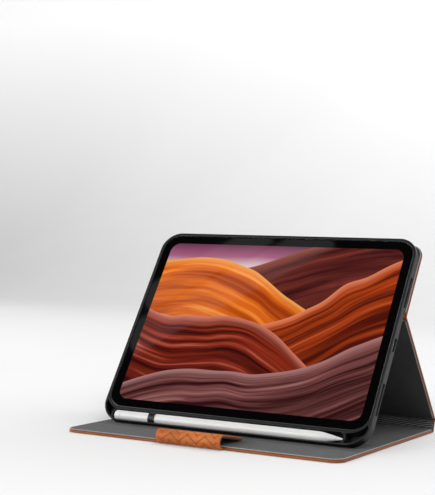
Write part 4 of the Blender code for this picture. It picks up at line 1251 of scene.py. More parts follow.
TRAY_FLOOR = 1.3
LIP_REACH = 0.8
LIP_THICKNESS = 0.8
LIP_ROUND = 0.7
LIP_UNDER = TRAY_FRONT - LIP_THICKNESS
pocket = [(-CLEARANCE, TRAY_BACK + TRAY_FLOOR), (-CLEARANCE, LIP_UNDER), (LIP_REACH, LIP_UNDER)]
pocket += [(LIP_REACH - LIP_ROUND * (1 - math.cos(angle)),
            TRAY_FRONT - LIP_ROUND + LIP_ROUND * math.sin(angle)) for angle in np.linspace(0, QUARTER, 6)]
pocket.append((LIP_REACH - LIP_ROUND, TRAY_FRONT + BEYOND))
insets, heights = zip(*pocket)
tray_cutter("pocket_cutter", *stacked([tablet_outline(inset) for inset in insets], heights))

# %% [markdown]
# ## The trough for the stylus
#
# The stylus lies in a trough along the foot, with a round end past its nib and past its cap. The cutter
# is a U section carried along x. Towards each end the section narrows like a sphere.

# %% Trough
TROUGH_LEFT = -113.2
TROUGH_RIGHT = 105.0
TROUGH_FLARE = 0.3
TROUGH_BEYOND = 4.0


def trough_section(width):
    """U section: a half circle below, straight sides, flared at the front face."""
    bowl = arc_points((0.0, 0.0), width, 180, 360, 20)
    rise = TRAY_FRONT - STYLUS_Z
    flare = [(width + TROUGH_FLARE * (1 - math.cos(angle)),
              rise - TROUGH_FLARE + TROUGH_FLARE * math.sin(angle)) for angle in np.linspace(0, QUARTER, 5)]
    flare.append((width + TROUGH_FLARE, rise + TROUGH_BEYOND))
    right = np.array(flare)
    left = right[::-1] * (-1, 1)
    return np.concatenate([bowl, right, left]) + (STYLUS_Y, STYLUS_Z)


round_end = np.linspace(0, QUARTER, 12)[:-1]
stations = np.concatenate([(TROUGH_LEFT + TROUGH - TROUGH * np.sin(round_end))[::-1],
                           TROUGH_RIGHT - TROUGH + TROUGH * np.sin(round_end)])
widths = TROUGH * np.concatenate([np.cos(round_end)[::-1], np.cos(round_end)])
points, faces = stacked([trough_section(width) for width in widths], stations)
tray_cutter("trough_cutter", sideways(points), faces)

# %% [markdown]
# ## Recesses beside the trough
#
# Where the foot's corners would be thick, the moulder takes material out, so that the rubber cools
# evenly. That leaves a crescent at each end of the trough. Three arcs bound it: inside the foot's
# corner, outside the tablet's corner, and round the trough's end.

# %% Crescent recesses
RECESS_FLOOR = TRAY_BACK + 0.9
RECESS_FLARE = 0.3
FOOT_WALL = 1.6
POCKET_WALL = 1.3
STOP_WALLS = {-1: 1.3, 1: 1.7}
OUTER_STOP = -13
INNER_START = -33


def crescent(side, trough_end, outer_start, inner_stop, end_turn):
    """Outline between the foot's round corner, the tablet's corner and the trough's round end.

    outer_start, inner_stop and end_turn are where the three arcs begin or end, in degrees.
    """
    outer_middle = (TRAY_HALF - FOOT_CORNER, TRAY_LOW + FOOT_CORNER)
    inner_middle = (TABLET[0] / 2 - TABLET[2], TABLET_Y - TABLET[1] / 2 + TABLET[2])
    outside = arc_points(outer_middle, FOOT_CORNER - FOOT_WALL, outer_start, OUTER_STOP, 18)
    inside = arc_points(inner_middle, TABLET[2] + CLEARANCE + POCKET_WALL, INNER_START, inner_stop, 14)
    stop = arc_points((trough_end - TROUGH, STYLUS_Y), TROUGH + STOP_WALLS[side], *end_turn, 10)
    outline = np.concatenate([outside, inside, stop])
    return outline if side > 0 else (outline * (-1, 1))[::-1]


right_recess = crescent(1, TROUGH_RIGHT, -78, -86, (34, -34))
left_recess = crescent(-1, -TROUGH_LEFT, -60, -75, (40, -20))
for outline, name in ((right_recess, "right_recess_cutter"), (left_recess, "left_recess_cutter")):
    tray_cutter(name, *flared(outline, RECESS_FLOOR, TRAY_FRONT, RECESS_FLARE))

# %% [markdown]
# ## Slots in the tray's sides
#
# Sound, plug and fingers need a way in: two speaker slots on each short side, one for the charging
# socket, one for the power button, and a long one above for the volume buttons. Each is a pill, carried
# through the wall and flared outwards. A wide pill in the back is the window for the camera.

# %% Slots and window
SIDE_LEVEL = TABLET_BACK + 2.75
SLOT_HEIGHT = 3.8
SLOT_FLARE = 0.7
SLOT_DEPTH = 5.0
SPEAKER_Y = {"upper": 40.5, "lower": -58.5}
SPEAKER_SLOT = 29.0
PORT_Y = -9.0
PORT_SLOT = 12.5
POWER_Y = 65.5
POWER_SLOT = 16.0
VOLUME_X = -92.0
VOLUME_SLOT = 30.0
VOLUME_FLARE = 0.4


def side_slot(name, y, length, side):
    """Pill in y and z, carried through a side wall and flared outwards."""
    outline = pill_outline(length, SLOT_HEIGHT, (TABLET_Y + y, SIDE_LEVEL))
    points, faces = flared(outline, TRAY_HALF - SLOT_DEPTH, TRAY_HALF, SLOT_FLARE)
    tray_cutter(name, sideways(points) * (side, 1, 1), faces)


for label, side in (("right", 1), ("left", -1)):
    for height, y in SPEAKER_Y.items():
        side_slot(f"{label}_{height}_slot_cutter", y, SPEAKER_SLOT, side)
side_slot("port_slot_cutter", PORT_Y, PORT_SLOT, 1)
side_slot("power_slot_cutter", POWER_Y, POWER_SLOT, -1)
outline = pill_outline(VOLUME_SLOT, SLOT_HEIGHT, (VOLUME_X, SIDE_LEVEL))
points, faces = flared(outline, TRAY_HIGH - SLOT_DEPTH, TRAY_HIGH, VOLUME_FLARE)
tray_cutter("volume_slot_cutter", points[:, [0, 2, 1]], faces)

LENS = (-110.5, TABLET_Y + 70.25)
WINDOW_LENGTH = 29.2
WINDOW_WIDTH = 16.6
WINDOW_OFFSET = 6.4
WINDOW_REACH = 2.0
WINDOW = pill_outline(WINDOW_LENGTH, WINDOW_WIDTH, (LENS[0] + WINDOW_OFFSET, LENS[1]))


def window_cutter(level):
    """The window's outline carried through a flat layer at this level."""
    return stacked([WINDOW, WINDOW], [level - WINDOW_REACH, level + WINDOW_REACH])


tray_cutter("tray_window_cutter", *window_cutter(TRAY_BACK))
carve(tray_block, cutters)

# %% [markdown]
# ## The soft end wall
#
# The stylus is drawn out to the left, under the loop and past the trough's end. The rubber gives way
# there. So the part of the end wall in the stylus's path is a piece of its own: what the finished tray
# and a round bar of the trough's size share.

# %% End wall and tray shell
WAY_OUT = (-OUTSIDE, -106.0)


def way_out(name):
    """Round bar along the stylus's path, through the trough's left end."""
    return solid(name, *along_x(arc_points((STYLUS_Y, STYLUS_Z), TROUGH, 0, 360, 40)[:-1], *WAY_OUT))


end_block = solid("end_block", *points_and_faces(tray_block))
carve(end_block, [way_out("end_bar")], "INTERSECT")
carve(tray_block, [way_out("way_out_cutter")])
points, faces = taken_apart(end_block)
end_wall = new_piece("trough_end_wall", tray_place(points), faces, RUBBER, "holder",
                     sharp=MOULD_SHARP)
floor_spot = MM * tray_place((TROUGH_LEFT, STYLUS_Y, STYLUS_Z - TROUGH))
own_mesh(end_wall)
points, faces = taken_apart(tray_block)
tray_shell = new_piece("tray_shell", tray_place(points), faces, RUBBER, "holder",
                       ("tray",), MOULD_SHARP)
even = tray_shell.modifiers.new("even shading", "WEIGHTED_NORMAL")
even.keep_sharp = True

# %% [markdown]
# ## The window in the back panel
#
# The back leather and its lining are glued to the tray, and the same window is punched through all
# three. The leather's cutter is laid at the tray's angle, because the leather already is. The back's
# lining is the cover's kind of sheet with its free end turned to the top.

# %% Back window and back lining
WINDOW_FLARE = 0.35
points, faces = flared(WINDOW * (1, -1), PANEL_LOW - 1.0, PANEL_LOW + LEATHER_THICKNESS, WINDOW_FLARE)
carve(skins["back_skin"], [solid("back_window_cutter", tray_place(points * (1, -1, -1)), faces)])
points, faces, marks = lining_sheet(LINING_INSET, BACK_LENGTH - CREASE_SETBACK, BACK_CORNER - LINING_INSET,
                                    plain_relief, PLAIN_LINING_STEP, True)
points = points * (1, -1, 1) + (0.0, BACK_LENGTH, 0.0)
back_felt = new_piece("back_felt", lining_place(points, 0.0, CREASE, TRAY_TURN), faces, FELT, "holder",
                      ("back_lining",), SHEET_SHARP, marks)
points, faces = window_cutter(LINING_LOW)
carve(back_felt, [solid("felt_window_cutter", tray_place(points), faces)])

# %% [markdown]
# ## The stylus loop
#
# A band of the same rubber bridges the trough and holds the stylus. It is a rounded strip section
# carried along an arch, so it is made as its own piece with soft edges.

# %% Stylus loop
LOOP_X = -72.7
LOOP_HALF = 3.0
LOOP_THICKNESS = 0.85
LOOP_ROUND = 0.3
LOOP_GAP = 0.02
LOOP_SWEEP = (-22, 202)
LOOP_STEPS = 40
section = rounded_outline(-LOOP_HALF, LOOP_HALF, 0.0, LOOP_THICKNESS, LOOP_ROUND, LOOP_ROUND)
arch = np.radians(np.linspace(*LOOP_SWEEP, LOOP_STEPS))
radius = TROUGH + LOOP_GAP + section[:, 1]
points = np.stack([np.broadcast_to(LOOP_X + section[:, 0], (len(arch), len(section))),
                   STYLUS_Y + np.cos(arch)[:, None] * radius, STYLUS_Z + np.sin(arch)[:, None] * radius], -1)
faces = grid_faces(len(arch), len(section), close_columns=True).tolist()
faces += [list(range(len(section))), list(range((len(arch) - 1) * len(section), len(arch) * len(section)))]
new_piece("stylus_loop", tray_place(points.reshape(-1, 3)), faces, RUBBER, "holder")

# %% [markdown]
# ## The picture's ridges
#
# The screen shows a generic picture of rolling ridges. An image file could be used, but a picture made
# of nodes needs no file and stays sharp. One node group draws one ridge, and the screen lays several of
# them over each other, from the farthest to the nearest.

# %% Ridge group
def make_ridge_group():
    """One ridge of a layered picture: colour and mask from its crest line.

    The crest is Height + Tilt * u + Swell * sin(Waves * u + Phase). Depth is how far a point lies below
    it. Streaks are noise stretched along the crest, so they follow it down.
    """
    group = bpy.data.node_groups.new("Picture ridge", "ShaderNodeTree")
    group.interface.new_socket("Vector", in_out="INPUT", socket_type="NodeSocketVector")
    for label in ("Height", "Tilt", "Swell", "Waves", "Phase", "Streaks", "Fall", "Seed"):
        group.interface.new_socket(label, in_out="INPUT", socket_type="NodeSocketFloat")
    for label in ("Dark", "Body", "Crest"):
        group.interface.new_socket(label, in_out="INPUT", socket_type="NodeSocketColor")
    group.interface.new_socket("Colour", in_out="OUTPUT", socket_type="NodeSocketColor")
    group.interface.new_socket("Mask", in_out="OUTPUT", socket_type="NodeSocketFloat")
    given = group.nodes.new("NodeGroupInput").outputs
    parts = shader_node(group, "SeparateXYZ", {0: given["Vector"]}).outputs
    drift = shader_node(group, "TexNoise", {"Vector": given["Vector"], "Scale": 1.6, "Detail": 1.0})
    bent = plus(group, parts[0], times(group, drift.outputs[0], 0.5))
    wave = maths(group, "SINE", plus(group, times(group, bent, given["Waves"]), given["Phase"]))
    slope = plus(group, given["Height"], times(group, parts[0], given["Tilt"]))
    depth = minus(group, plus(group, slope, times(group, wave, given["Swell"])), parts[1])
    along = plus(group, times(group, bent, 0.55), given["Seed"])
    below = maths(group, "POWER", maths(group, "MAXIMUM", depth, 0.0), 0.72)
    across = times(group, below, given["Streaks"])
    spot = shader_node(group, "CombineXYZ", {0: along, 1: across, 2: given["Seed"]})
    streak = shader_node(group, "TexNoise", {"Vector": spot.outputs[0], "Scale": 1.0, "Detail": 5.0,
                                             "Roughness": 0.55, "Distortion": 0.25}).outputs[0]
    fall = times(group, depth, given["Fall"], clamp=True)
    lit = times(group, smooth_step(group, streak, 0.34, 0.66), minus(group, 1.0, times(group, fall, 0.62)))
    colour = blend_colours(group, lit, given["Dark"], given["Body"])
    rim = maths(group, "POWER", minus(group, 1.0, times(group, depth, 9.0, clamp=True)), 2.0)
    glints = times(group, smooth_step(group, streak, 0.56, 0.74), 0.55)
    bright = maths(group, "MAXIMUM", times(group, rim, 0.8), glints)
    out = group.nodes.new("NodeGroupOutput")
    group.links.new(blend_colours(group, bright, colour, given["Crest"]), out.inputs["Colour"])
    group.links.new(times(group, depth, 160.0, clamp=True), out.inputs["Mask"])
    return group


RIDGE = make_ridge_group()
print("ridge group:", len(RIDGE.nodes), "nodes")

# %% [markdown]
# ## Screen glass
#
# The glass is laminated to the display, so the picture seems to lie in its surface. The material reads
# object coordinates turned into the screen's plane, in units of 100 mm. A rounded rectangle separates
# the black border from the lit picture, which glows by itself under a clear reflecting surface.

# %% Screen material
SCREEN = (229.8, 160.5)
SCREEN_CORNER = 9.0
SCREEN_UNIT = 100.0
SCREEN_SOFT = 0.002
GLASS_TOP = TABLET_BACK + 6.1
RIDGE_LABELS = ("Height", "Tilt", "Swell", "Waves", "Phase", "Streaks", "Fall")
RIDGES = (
    # the seven values in the order of the labels, then the dark, body and crest colours
    ((0.70, 0.20, 0.10, 2.1, 5.6, 10.0, 0.8),
     (0.040, 0.004, 0.006), (0.210, 0.036, 0.024), (0.40, 0.11, 0.07)),
    ((0.36, -0.24, 0.16, 2.6, 2.2, 10.0, 0.6),
     (0.34, 0.036, 0.003), (0.95, 0.205, 0.014), (1.00, 0.50, 0.13)),
    ((0.20, 0.28, 0.20, 2.3, 4.2, 13.0, 1.1),
     (0.075, 0.005, 0.002), (0.62, 0.075, 0.008), (1.00, 0.33, 0.17)),
    ((-0.14, -0.34, 0.15, 2.9, 0.9, 15.0, 1.4),
     (0.030, 0.002, 0.002), (0.36, 0.032, 0.010), (0.85, 0.27, 0.19)),
    ((-0.40, 0.30, 0.13, 2.4, 3.0, 17.0, 1.3),
     (0.030, 0.004, 0.005), (0.250, 0.082, 0.076), (0.52, 0.26, 0.25)),
)
SEED_STEP = 3.7
SKY = ((0.60, (0.88, 0.72, 0.74)), (0.74, (0.40, 0.12, 0.22)), (0.90, (0.075, 0.012, 0.035)))


def screen_mask(tree, flat):
    """1 inside the lit rounded rectangle: the distance past a corner's middle, against its radius."""
    corner = SCREEN_CORNER / SCREEN_UNIT
    half = (SCREEN[0] / 2 / SCREEN_UNIT - corner, SCREEN[1] / 2 / SCREEN_UNIT - corner, 1.0)
    nowhere = (0.0, 0.0, 0.0)
    folded = shader_node(tree, "VectorMath", {0: flat}, operation="ABSOLUTE").outputs[0]
    outside = shader_node(tree, "VectorMath", {0: folded, 1: half}, operation="SUBTRACT").outputs[0]
    outside = shader_node(tree, "VectorMath", {0: outside, 1: nowhere}, operation="MAXIMUM").outputs[0]
    distance = shader_node(tree, "VectorMath", {0: outside}, operation="LENGTH").outputs["Value"]
    return smooth_step(tree, distance, corner + SCREEN_SOFT, corner - SCREEN_SOFT)


def ridge_picture(tree, flat):
    """Sky from a colour ramp, with each ridge laid over what is behind it."""
    glow = shader_node(tree, "TexNoise", {"Vector": flat, "Scale": 1.3, "Detail": 2.0})
    height = shader_node(tree, "SeparateXYZ", {0: flat}).outputs[1]
    picture = ramp(tree, plus(tree, height, times(tree, glow.outputs[0], 0.12)), SKY)
    for number, (values, *colours) in enumerate(RIDGES):
        ridge = tree.nodes.new("ShaderNodeGroup")
        ridge.node_tree = RIDGE
        tree.links.new(flat, ridge.inputs["Vector"])
        ridge.inputs["Seed"].default_value = SEED_STEP * number
        for label, value in zip(RIDGE_LABELS, values):
            ridge.inputs[label].default_value = value
        for label, colour in zip(("Dark", "Body", "Crest"), colours):
            ridge.inputs[label].default_value = (*colour, 1.0)
        picture = blend_colours(tree, ridge.outputs["Mask"], picture, ridge.outputs["Colour"])
    return picture


def make_screen_glass():
    """Black glass with a faint smudge in its gloss, and the picture as its own light."""
    finish = bpy.data.materials.new("screen glass")
    finish.use_nodes = True
    tree = finish.node_tree
    shader = tree.nodes["Principled BSDF"]
    place = shader_node(tree, "TexCoord").outputs["Object"]
    middle = MM * tray_place((0.0, TABLET_Y, GLASS_TOP))
    unit = MM * SCREEN_UNIT
    flat = shader_node(tree, "Mapping", {"Vector": place, "Location": tuple(middle),
                                         "Rotation": (TRAY_TURN, 0.0, 0.0), "Scale": (unit, unit, unit)},
                       vector_type="TEXTURE").outputs[0]
    emission = blend_colours(tree, screen_mask(tree, flat), (0.0, 0.0, 0.0), ridge_picture(tree, flat))
    tree.links.new(emission, shader.inputs["Emission Color"])
    shader.inputs["Emission Strength"].default_value = 0.92
    smudge = shader_node(tree, "TexNoise", {"Vector": place, "Scale": 30.0, "Detail": 3.0}).outputs[0]
    black = blend_colours(tree, smudge, (0.0006, 0.0006, 0.0007), (0.0012, 0.0012, 0.0013))
    tree.links.new(black, shader.inputs["Base Color"])
    tree.links.new(ranged(tree, smudge, 0.02, 0.05), shader.inputs["Roughness"])
    shader.inputs["IOR"].default_value = 1.5
    return finish


SCREEN_GLASS = make_screen_glass()
print("screen glass:", len(SCREEN_GLASS.node_tree.nodes), "nodes")

# %% [markdown]
# ## The glass plate
#
# The plate sits a little inside the tablet's edge, and its upper edge is ground round. A Bevel modifier
# would round it too. A stack of outlines, drawn in along a quarter round, gives the same with fewer
# steps and no loose settings.

# %% Glass plate
GLASS_LOW = TABLET_BACK + 5.4
GLASS_INSET = 1.1
EDGE_ROUND = 0.3
FACE_INSET = 0.3
quarter_round = np.linspace(0, QUARTER, 6)
insets = [0.0] + list(EDGE_ROUND * (1 - np.cos(quarter_round))) + [EDGE_ROUND + FACE_INSET]
heights = [GLASS_LOW] + list(GLASS_TOP - EDGE_ROUND * (1 - np.sin(quarter_round))) + [GLASS_TOP]
points, faces = stacked([tablet_outline(GLASS_INSET + inset) for inset in insets], heights)
new_piece("screen_glass", tray_place(points), faces, SCREEN_GLASS, "holder",
          ("cover_glass",), GLASS_SHARP)

# %% [markdown]
# ## Stylus
#
# The stylus is turned: a profile of distance and radius spun about its axis. Barrel, cap and nib are
# separate mouldings, and a fine groove shows where the cap is pushed on.

# %% Profiles of the stylus
STYLUS_R = 4.45
TAIL_X = -111.4
TIP_X = 103.8
CAP_END = TAIL_X + 6.2
CAP_ROUND = 2.4
JOIN_GAP = 0.2
JOIN_ROUND = 0.12
JOIN_R = 3.6
BARREL_START = CAP_END + JOIN_GAP
TAPER_START = TIP_X - 21.0
STRAIGHT_ENDS = (-60.0, TAPER_START - 8.0)
STRAIGHT_POINTS = 5
TAPER_CURVE = 1.35
NECK_X = TIP_X - 5.2
NECK_R = 1.7
NIB_START = NECK_X + 0.15
NIB_ROUND = 0.8
STYLUS_SIDES = 64


def rounded_step(x, radius, round_to, sign, steps=6):
    """Quarter round at an end of a cylinder. sign is 1 where the profile rises into it."""
    angle = np.linspace(0, QUARTER, steps)
    arc = np.column_stack([x + sign * round_to * (1 - np.sin(angle)),
                           radius - round_to * (1 - np.cos(angle))])
    return arc[::-1] if sign > 0 else arc


cap = np.concatenate([[(TAIL_X, 0.0)], rounded_step(TAIL_X, STYLUS_R, CAP_ROUND, 1, 12),
                      rounded_step(CAP_END, STYLUS_R, JOIN_ROUND, -1), [(CAP_END, JOIN_R), (CAP_END, 0.0)]])
share = np.linspace(0, 1, 24)
taper = np.column_stack([TAPER_START + (NECK_X - TAPER_START) * share,
                         STYLUS_R + (NECK_R - STYLUS_R) * share ** TAPER_CURVE])
straight = np.column_stack([np.linspace(*STRAIGHT_ENDS, STRAIGHT_POINTS), np.full(STRAIGHT_POINTS, STYLUS_R)])
barrel = np.concatenate([[(BARREL_START, 0.0), (BARREL_START, JOIN_R)],
                         rounded_step(BARREL_START, STYLUS_R, JOIN_ROUND, 1), straight, taper,
                         [(NECK_X, 0.0)]])
tip = np.linspace(0, QUARTER, 10)
nib = np.concatenate([[(NIB_START, 0.0), (NIB_START, NECK_R)],
                      np.column_stack([TIP_X - NIB_ROUND * (1 - np.sin(tip)), NIB_ROUND * np.cos(tip)])])
print("stylus:", round(TIP_X - TAIL_X, 1), "mm long,", 2 * STYLUS_R, "mm thick")

# %% Stylus pieces
def revolved(profile, sides):
    """Profile of distance and radius spun about its axis: points (distance, across, up) and faces."""
    profile = np.asarray(profile, float)
    angle = np.linspace(0, 2 * math.pi, sides, endpoint=False)
    distance = np.broadcast_to(profile[:, :1], (len(profile), sides))
    points = np.stack([distance, profile[:, 1:] * np.cos(angle), profile[:, 1:] * np.sin(angle)], -1)
    return points.reshape(-1, 3), grid_faces(len(profile), sides, close_columns=True).tolist()


for name, profile, finish, node in (("pen_cap", cap, WHITE, "stylus_cap"),
                                    ("pen_barrel", barrel, WHITE, "stylus_barrel"),
                                    ("pen_nib", nib, NIB, "stylus_nib")):
    points, faces = revolved(profile, STYLUS_SIDES)
    new_piece(name, tray_place(points + (0.0, STYLUS_Y, STYLUS_Z)), faces, finish, "stylus",
              (node,), MOULD_SHARP)

# %% [markdown]
# ## Rear camera
#
# Through the window in the back the tablet's metal shows with its camera: a polished ring, a dark lens
# with a smaller ring inside, and a pinhole for the microphone. All three are turned profiles, like the
# stylus, on an axis that points out of the tablet's back.

# %% Camera ring, lens and pinhole
RING_LOW = 0.2
RING_TOP = 1.3
RING_INNER = 4.8
RING_OUTER = 6.4
RING_ROUND = 0.25
PINHOLE_OFFSET = 12.3
PINHOLE_SIDES = 24


def turned_back(profile, middle, sides=72):
    """Turned piece on the tablet's back. Profile: distance out of the back, radius."""
    points, faces = revolved(profile, sides)
    return tray_place(points[:, [1, 2, 0]] * (1, 1, -1) + (*middle, TABLET_BACK)), faces


bend = np.linspace(0, QUARTER, 7)
inner_rim = np.column_stack([RING_TOP - RING_ROUND * (1 - np.sin(bend)),
                             RING_INNER + RING_ROUND * (1 - np.cos(bend))])
outer_rim = np.column_stack([RING_TOP - RING_ROUND * (1 - np.cos(bend)),
                             RING_OUTER - RING_ROUND * (1 - np.sin(bend))])
ring = np.concatenate([[(RING_LOW, RING_INNER)], inner_rim, outer_rim,
                       [(RING_LOW, RING_OUTER), (RING_LOW, RING_INNER)]])
points, faces = turned_back(ring, LENS)
new_piece("camera_bezel", points, faces, STEEL, "holder", ("camera_ring",))
lens = ((0.3, 0.0), (0.3, 4.5), (0.85, 4.5), (0.95, 4.4), (0.95, 3.0), (0.75, 2.8), (0.70, 2.0), (0.5, 1.8),
        (0.62, 1.0), (0.68, 0.0))
points, faces = turned_back(lens, LENS)
new_piece("camera_glass", points, faces, DARK_GLASS, "holder", ("camera_lens",))
# The pinhole is a thin dark disc: painted shade that stands in for the depth of the hole.
pinhole = ((0.0, 0.0), (0.0, 0.75), (0.06, 0.75), (0.06, 0.55), (0.02, 0.5), (0.02, 0.0))
points, faces = turned_back(pinhole, (LENS[0] + PINHOLE_OFFSET, LENS[1]), PINHOLE_SIDES)
new_piece("mic_pinhole", points, faces, PAINTED_HOLE_SHADE, "holder")

# %% [markdown]
# ## Speaker grilles
#
# In the side slots small bars divide each speaker opening into a row of holes. An Array modifier could
# repeat a bar. Here one rounded bar is copied to all its places in one array of points.

# %% Speaker bars
BAR_COUNT = 7
BAR_PITCH = 3.0
BAR_ENDS = (122.0, 123.7)
BAR_HALF = (0.7, 0.75)
BAR_ROUND = 0.3
bar = rounded_outline(-BAR_HALF[0], BAR_HALF[0], -BAR_HALF[1], BAR_HALF[1], BAR_ROUND, BAR_ROUND)
bar_points, bar_faces = along_x(bar, *BAR_ENDS)
places = (np.arange(BAR_COUNT) - (BAR_COUNT - 1) / 2) * BAR_PITCH
row_points = np.concatenate([bar_points + (0.0, place, SIDE_LEVEL) for place in places])
row_faces = [[index + number * len(bar_points) for index in face]
             for number in range(BAR_COUNT) for face in bar_faces]
for label, side in (("left", -1), ("right", 1)):
    for height, y in SPEAKER_Y.items():
        points = tray_place(row_points * (side, 1, 1) + (0.0, TABLET_Y + y, 0.0))
        new_piece(f"speaker_bars_{label}_{height}", points, row_faces, ALUMINIUM, "holder")

# %% [markdown]
# ## Finishes for the CAD pieces that stay
#
# Boards, magnets, cells and the tablet's housing keep their CAD shape, because hardly any of them can
# be seen. They only need a finish.

# %% CAD finishes
KEPT = (
    (GREYBOARD, ("cover_board", "spine_board", "leg_board", "back_board")),
    (ALUMINIUM, ("tablet_housing", "power_button", "volume_up_button", "volume_down_button")),
    (CELL, ("battery_left", "battery_right", "stylus_cell", "display_panel")),
    (CIRCUIT, ("main_board", "rear_camera", "front_camera", "power_switch", "volume_up_switch",
               "volume_down_switch", "stylus_board")),
    (FOAM, ("glass_gasket", "speaker_left_upper", "speaker_left_lower", "speaker_right_upper",
            "speaker_right_lower")),
    (STEEL, ("board_shield", "usb_port", "clasp_plate", "wake_magnet")),
)
for finish, names in KEPT:
    for name in names:
        nodes[name].data.materials.clear()
        nodes[name].data.materials.append(finish)
    print(finish.name, "on", len(names), "CAD pieces")

# %% [markdown]
# ## Floor and backdrop
#
# A product is often photographed on a paper sweep: white paper that lies flat and runs up behind in one
# round bend, so no horizon shows. It glows a little for the rays that show it, which stands for the
# lamps that light the paper behind a real set.

# %% Paper
def seen_directly(tree):
    """1 for the rays that show the background: the camera's own, mirrored and passed through glass."""
    path = shader_node(tree, "LightPath").outputs
    mirrored = maths(tree, "MAXIMUM", path["Is Glossy Ray"], path["Is Transmission Ray"])
    return maths(tree, "MAXIMUM", path["Is Camera Ray"], mirrored)


def make_paper():
    """White paper. Its glow grows with height and is less far back. Close to the object the glow dips, which
    is a painted shadow.
    """
    finish, tree, shader, grain = start_finish("white paper", 2.0, 900.0, 3000.0)
    tree.links.new(ramp(tree, grain["Clouds"], ((0.3, (0.56, 0.56, 0.56)), (0.7, (0.59, 0.59, 0.59)))),
                   shader.inputs["Base Color"])
    shader.inputs["Roughness"].default_value = 0.9
    shader.inputs["Specular IOR Level"].default_value = 0.0
    middle = shader_node(tree, "TexCoord").outputs["Object"]
    place = shader_node(tree, "SeparateXYZ", {0: middle}).outputs
    higher = ranged(tree, maths(tree, "DIVIDE", place[2], 0.8), 0.29, 0.75)
    far = smooth_step(tree, place[1], 0.3, 2.0)
    reach = shader_node(tree, "VectorMath", {0: middle}, operation="LENGTH").outputs["Value"]
    # Painted shadow: the glow dips within 0.42 m of the object.
    contact_shadow = smooth_step(tree, reach, 0.42, 0.05)
    lift = minus(tree, minus(tree, higher, times(tree, far, 0.06)), times(tree, contact_shadow, 0.08))
    shader.inputs["Emission Color"].default_value = (1.0, 1.0, 1.0, 1.0)
    tree.links.new(times(tree, seen_directly(tree), lift), shader.inputs["Emission Strength"])
    return finish


# %% Paper sweep
FLOOR_DROP = 0.3
SWEEP_FRONT, SWEEP_BEND, SWEEP_RADIUS, SWEEP_TOP = -3000, 1400, 900, 3200
SWEEP_HALF = 3500
bend = np.linspace(0.1, QUARTER, 16)
along = np.concatenate([np.linspace(SWEEP_FRONT, SWEEP_BEND, 12), SWEEP_BEND + SWEEP_RADIUS * np.sin(bend),
                        np.full(8, SWEEP_BEND + SWEEP_RADIUS)])
up = np.concatenate([np.zeros(12), SWEEP_RADIUS * (1 - np.cos(bend)),
                     np.linspace(SWEEP_RADIUS + 100, SWEEP_TOP, 8)]) - FLOOR_DROP
across, along = np.meshgrid(np.linspace(-SWEEP_HALF, SWEEP_HALF, 9), along, indexing="ij")
points = np.stack([across, along, np.broadcast_to(up, along.shape)], -1)
mesh = bpy.data.meshes.new("floor")
mesh.from_pydata(points.reshape(-1, 3) * MM, [], grid_faces(*along.shape))
mesh.shade_smooth()
mesh.materials.append(make_paper())
floor = linked("floor", mesh)
print("paper sweep:", len(mesh.polygons), "faces")

# %% [markdown]
# ## Camera
#
# A long lens stands at the front right, a little above the table. Its values were fitted to the edges
# of the case in the photograph. Blender's camera looks along its own -Z, so a quarter turn about X
# comes first, and roll, pitch and yaw turn what it sees.

# %% Camera
YAW, PITCH, ROLL = 29.92, -0.73, -1.31
LENS_MM = 95.72
SENSOR_MM = 36.0
CAMERA_PLACE = (0.5296, -0.98665, 0.1708)
camera_data = bpy.data.cameras.new("camera")
camera_data.lens = LENS_MM
camera_data.sensor_width = SENSOR_MM
camera = linked("camera", camera_data)
facing = Matrix.Identity(4)
for degrees, axis in ((YAW, "Z"), (PITCH, "X"), (ROLL, "Y"), (90.0, "X")):
    facing = facing @ Matrix.Rotation(math.radians(degrees), 4, axis)
camera.matrix_world = Matrix.Translation(CAMERA_PLACE) @ facing
bpy.context.scene.camera = camera
bpy.context.scene.view_settings.view_transform = "Standard"
print("camera:", LENS_MM, "mm lens at", CAMERA_PLACE)

# %% [markdown]
# ## Soft lights
#
# One large soft light stands at the front left, weaker ones at the right and left, and a broad one
# behind that lifts the upper edges. Area lights give the wide highlights and faint shadows of softboxes.

# %% Softboxes
AIM = (0.0, 0.0, 0.05)


def area_light(name, place, target, size, power):
    """Rectangular lamp at a place, turned towards a target, in metres and watts."""
    lamp = bpy.data.lights.new(name, "AREA")
    lamp.shape = "RECTANGLE"
    lamp.size, lamp.size_y = size
    lamp.energy = power
    made = linked(name, lamp)
    made.location = place
    away = made.location - Vector(target)
    made.rotation_euler = away.to_track_quat("Z", "Y").to_euler()
    return made


area_light("front softbox", (-1.3, -2.1, 0.95), AIM, (1.9, 1.9), 46.0)
area_light("right softbox", (0.95, -0.9, 1.6), AIM, (0.8, 0.8), 17.0)
area_light("left softbox", (-1.9, 0.45, 0.75), AIM, (0.6, 1.2), 12.0)
area_light("rear softbox", (0.5, 1.3, 1.6), AIM, (2.4, 1.8), 30.0)
print("softboxes", len(bpy.data.lights))

# %% [markdown]
# ## Bands of light on the glass
#
# In the photograph two slanting bands lie on the screen: lamps that the glass mirrors. To place such a
# lamp, the camera is mirrored in the glass. A line from there through a point of the glass leads to the
# lamp that shows at that point.

# %% Mirrored strips
GLARE_REACH = 1.3
GLARE_RADIANCE = 0.40
GLASS_NORMAL = np.array([0.0, -math.sin(TRAY_TURN), math.cos(TRAY_TURN)])


def glass_spot(u, v):
    """Point on the glass in metres, from millimetres off its middle."""
    return MM * tray_place((u, TABLET_Y + v, GLASS_TOP))


EYE = np.array(CAMERA_PLACE)
MIRRORED_EYE = EYE - 2 * ((EYE - glass_spot(0, 0)) @ GLASS_NORMAL) * GLASS_NORMAL


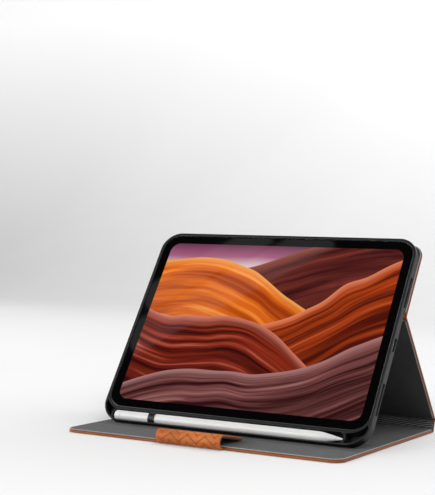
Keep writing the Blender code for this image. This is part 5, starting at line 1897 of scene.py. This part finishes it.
def mirrored_strip(name, start, stop, width):
    """Strip light whose mirror image runs between two points of the glass.

    Rays from the camera's mirror image go through both points and on for GLARE_REACH metres. The strip
    spans their ends, and its width in millimetres on the glass grows by the same proportion.
    """
    spots = np.array([glass_spot(*start), glass_spot(*stop)])
    rays = spots - MIRRORED_EYE
    growth = 1 + GLARE_REACH / np.linalg.norm(rays, axis=1, keepdims=True)
    ends = MIRRORED_EYE + rays * growth
    middle = ends.mean(0)
    lengthways = ends[1] - ends[0]
    length = np.linalg.norm(lengthways)
    lengthways /= length
    backwards = middle - spots.mean(0)
    backwards -= (backwards @ lengthways) * lengthways
    backwards /= np.linalg.norm(backwards)
    size = (length, MM * width * float(growth.mean()))
    strip_light = area_light(name, tuple(middle), AIM, size, math.pi * GLARE_RADIANCE * size[0] * size[1])
    pose = np.eye(4)
    pose[:3, 0], pose[:3, 1], pose[:3, 2] = lengthways, np.cross(backwards, lengthways), backwards
    pose[:3, 3] = middle
    strip_light.matrix_world = Matrix(pose)
    print(f"{name}: {size[0]:.2f} x {size[1]:.2f} m")


mirrored_strip("upper glare", (-20.0, 95.0), (-125.0, 18.0), 20.0)
mirrored_strip("lower glare", (39.0, 95.0), (-125.0, -25.0), 26.0)

# %% [markdown]
# ## The room
#
# The room around is pale where it is seen and dimmer where it only lights the object, which keeps the
# shadows. A dark patch up to the front left does what a black flag does in a studio: the glass mirrors
# that patch and not the pale room, so the picture stays clear.

# %% World
FLAG_TOWARDS = (-0.476, -0.428, 0.769)
FLAG_EDGE = (0.55, 0.9)
world = bpy.data.worlds.new("studio")
bpy.context.scene.world = world
world.use_nodes = True
sky = world.node_tree
towards = shader_node(sky, "TexCoord").outputs["Generated"]
facing_flag = shader_node(sky, "VectorMath", {0: towards, 1: FLAG_TOWARDS},
                          operation="DOT_PRODUCT").outputs["Value"]
not_camera = minus(sky, 1.0, shader_node(sky, "LightPath").outputs["Is Camera Ray"])
flag = times(sky, smooth_step(sky, facing_flag, *FLAG_EDGE), not_camera)
open_sky = blend_colours(sky, seen_directly(sky), (0.30, 0.30, 0.30), (1.0, 1.0, 1.0))
sky.links.new(blend_colours(sky, flag, open_sky, (0.02, 0.02, 0.02)), sky.nodes["Background"].inputs[0])
sky.nodes["Background"].inputs[1].default_value = 1.0
print("world:", len(sky.nodes), "nodes")
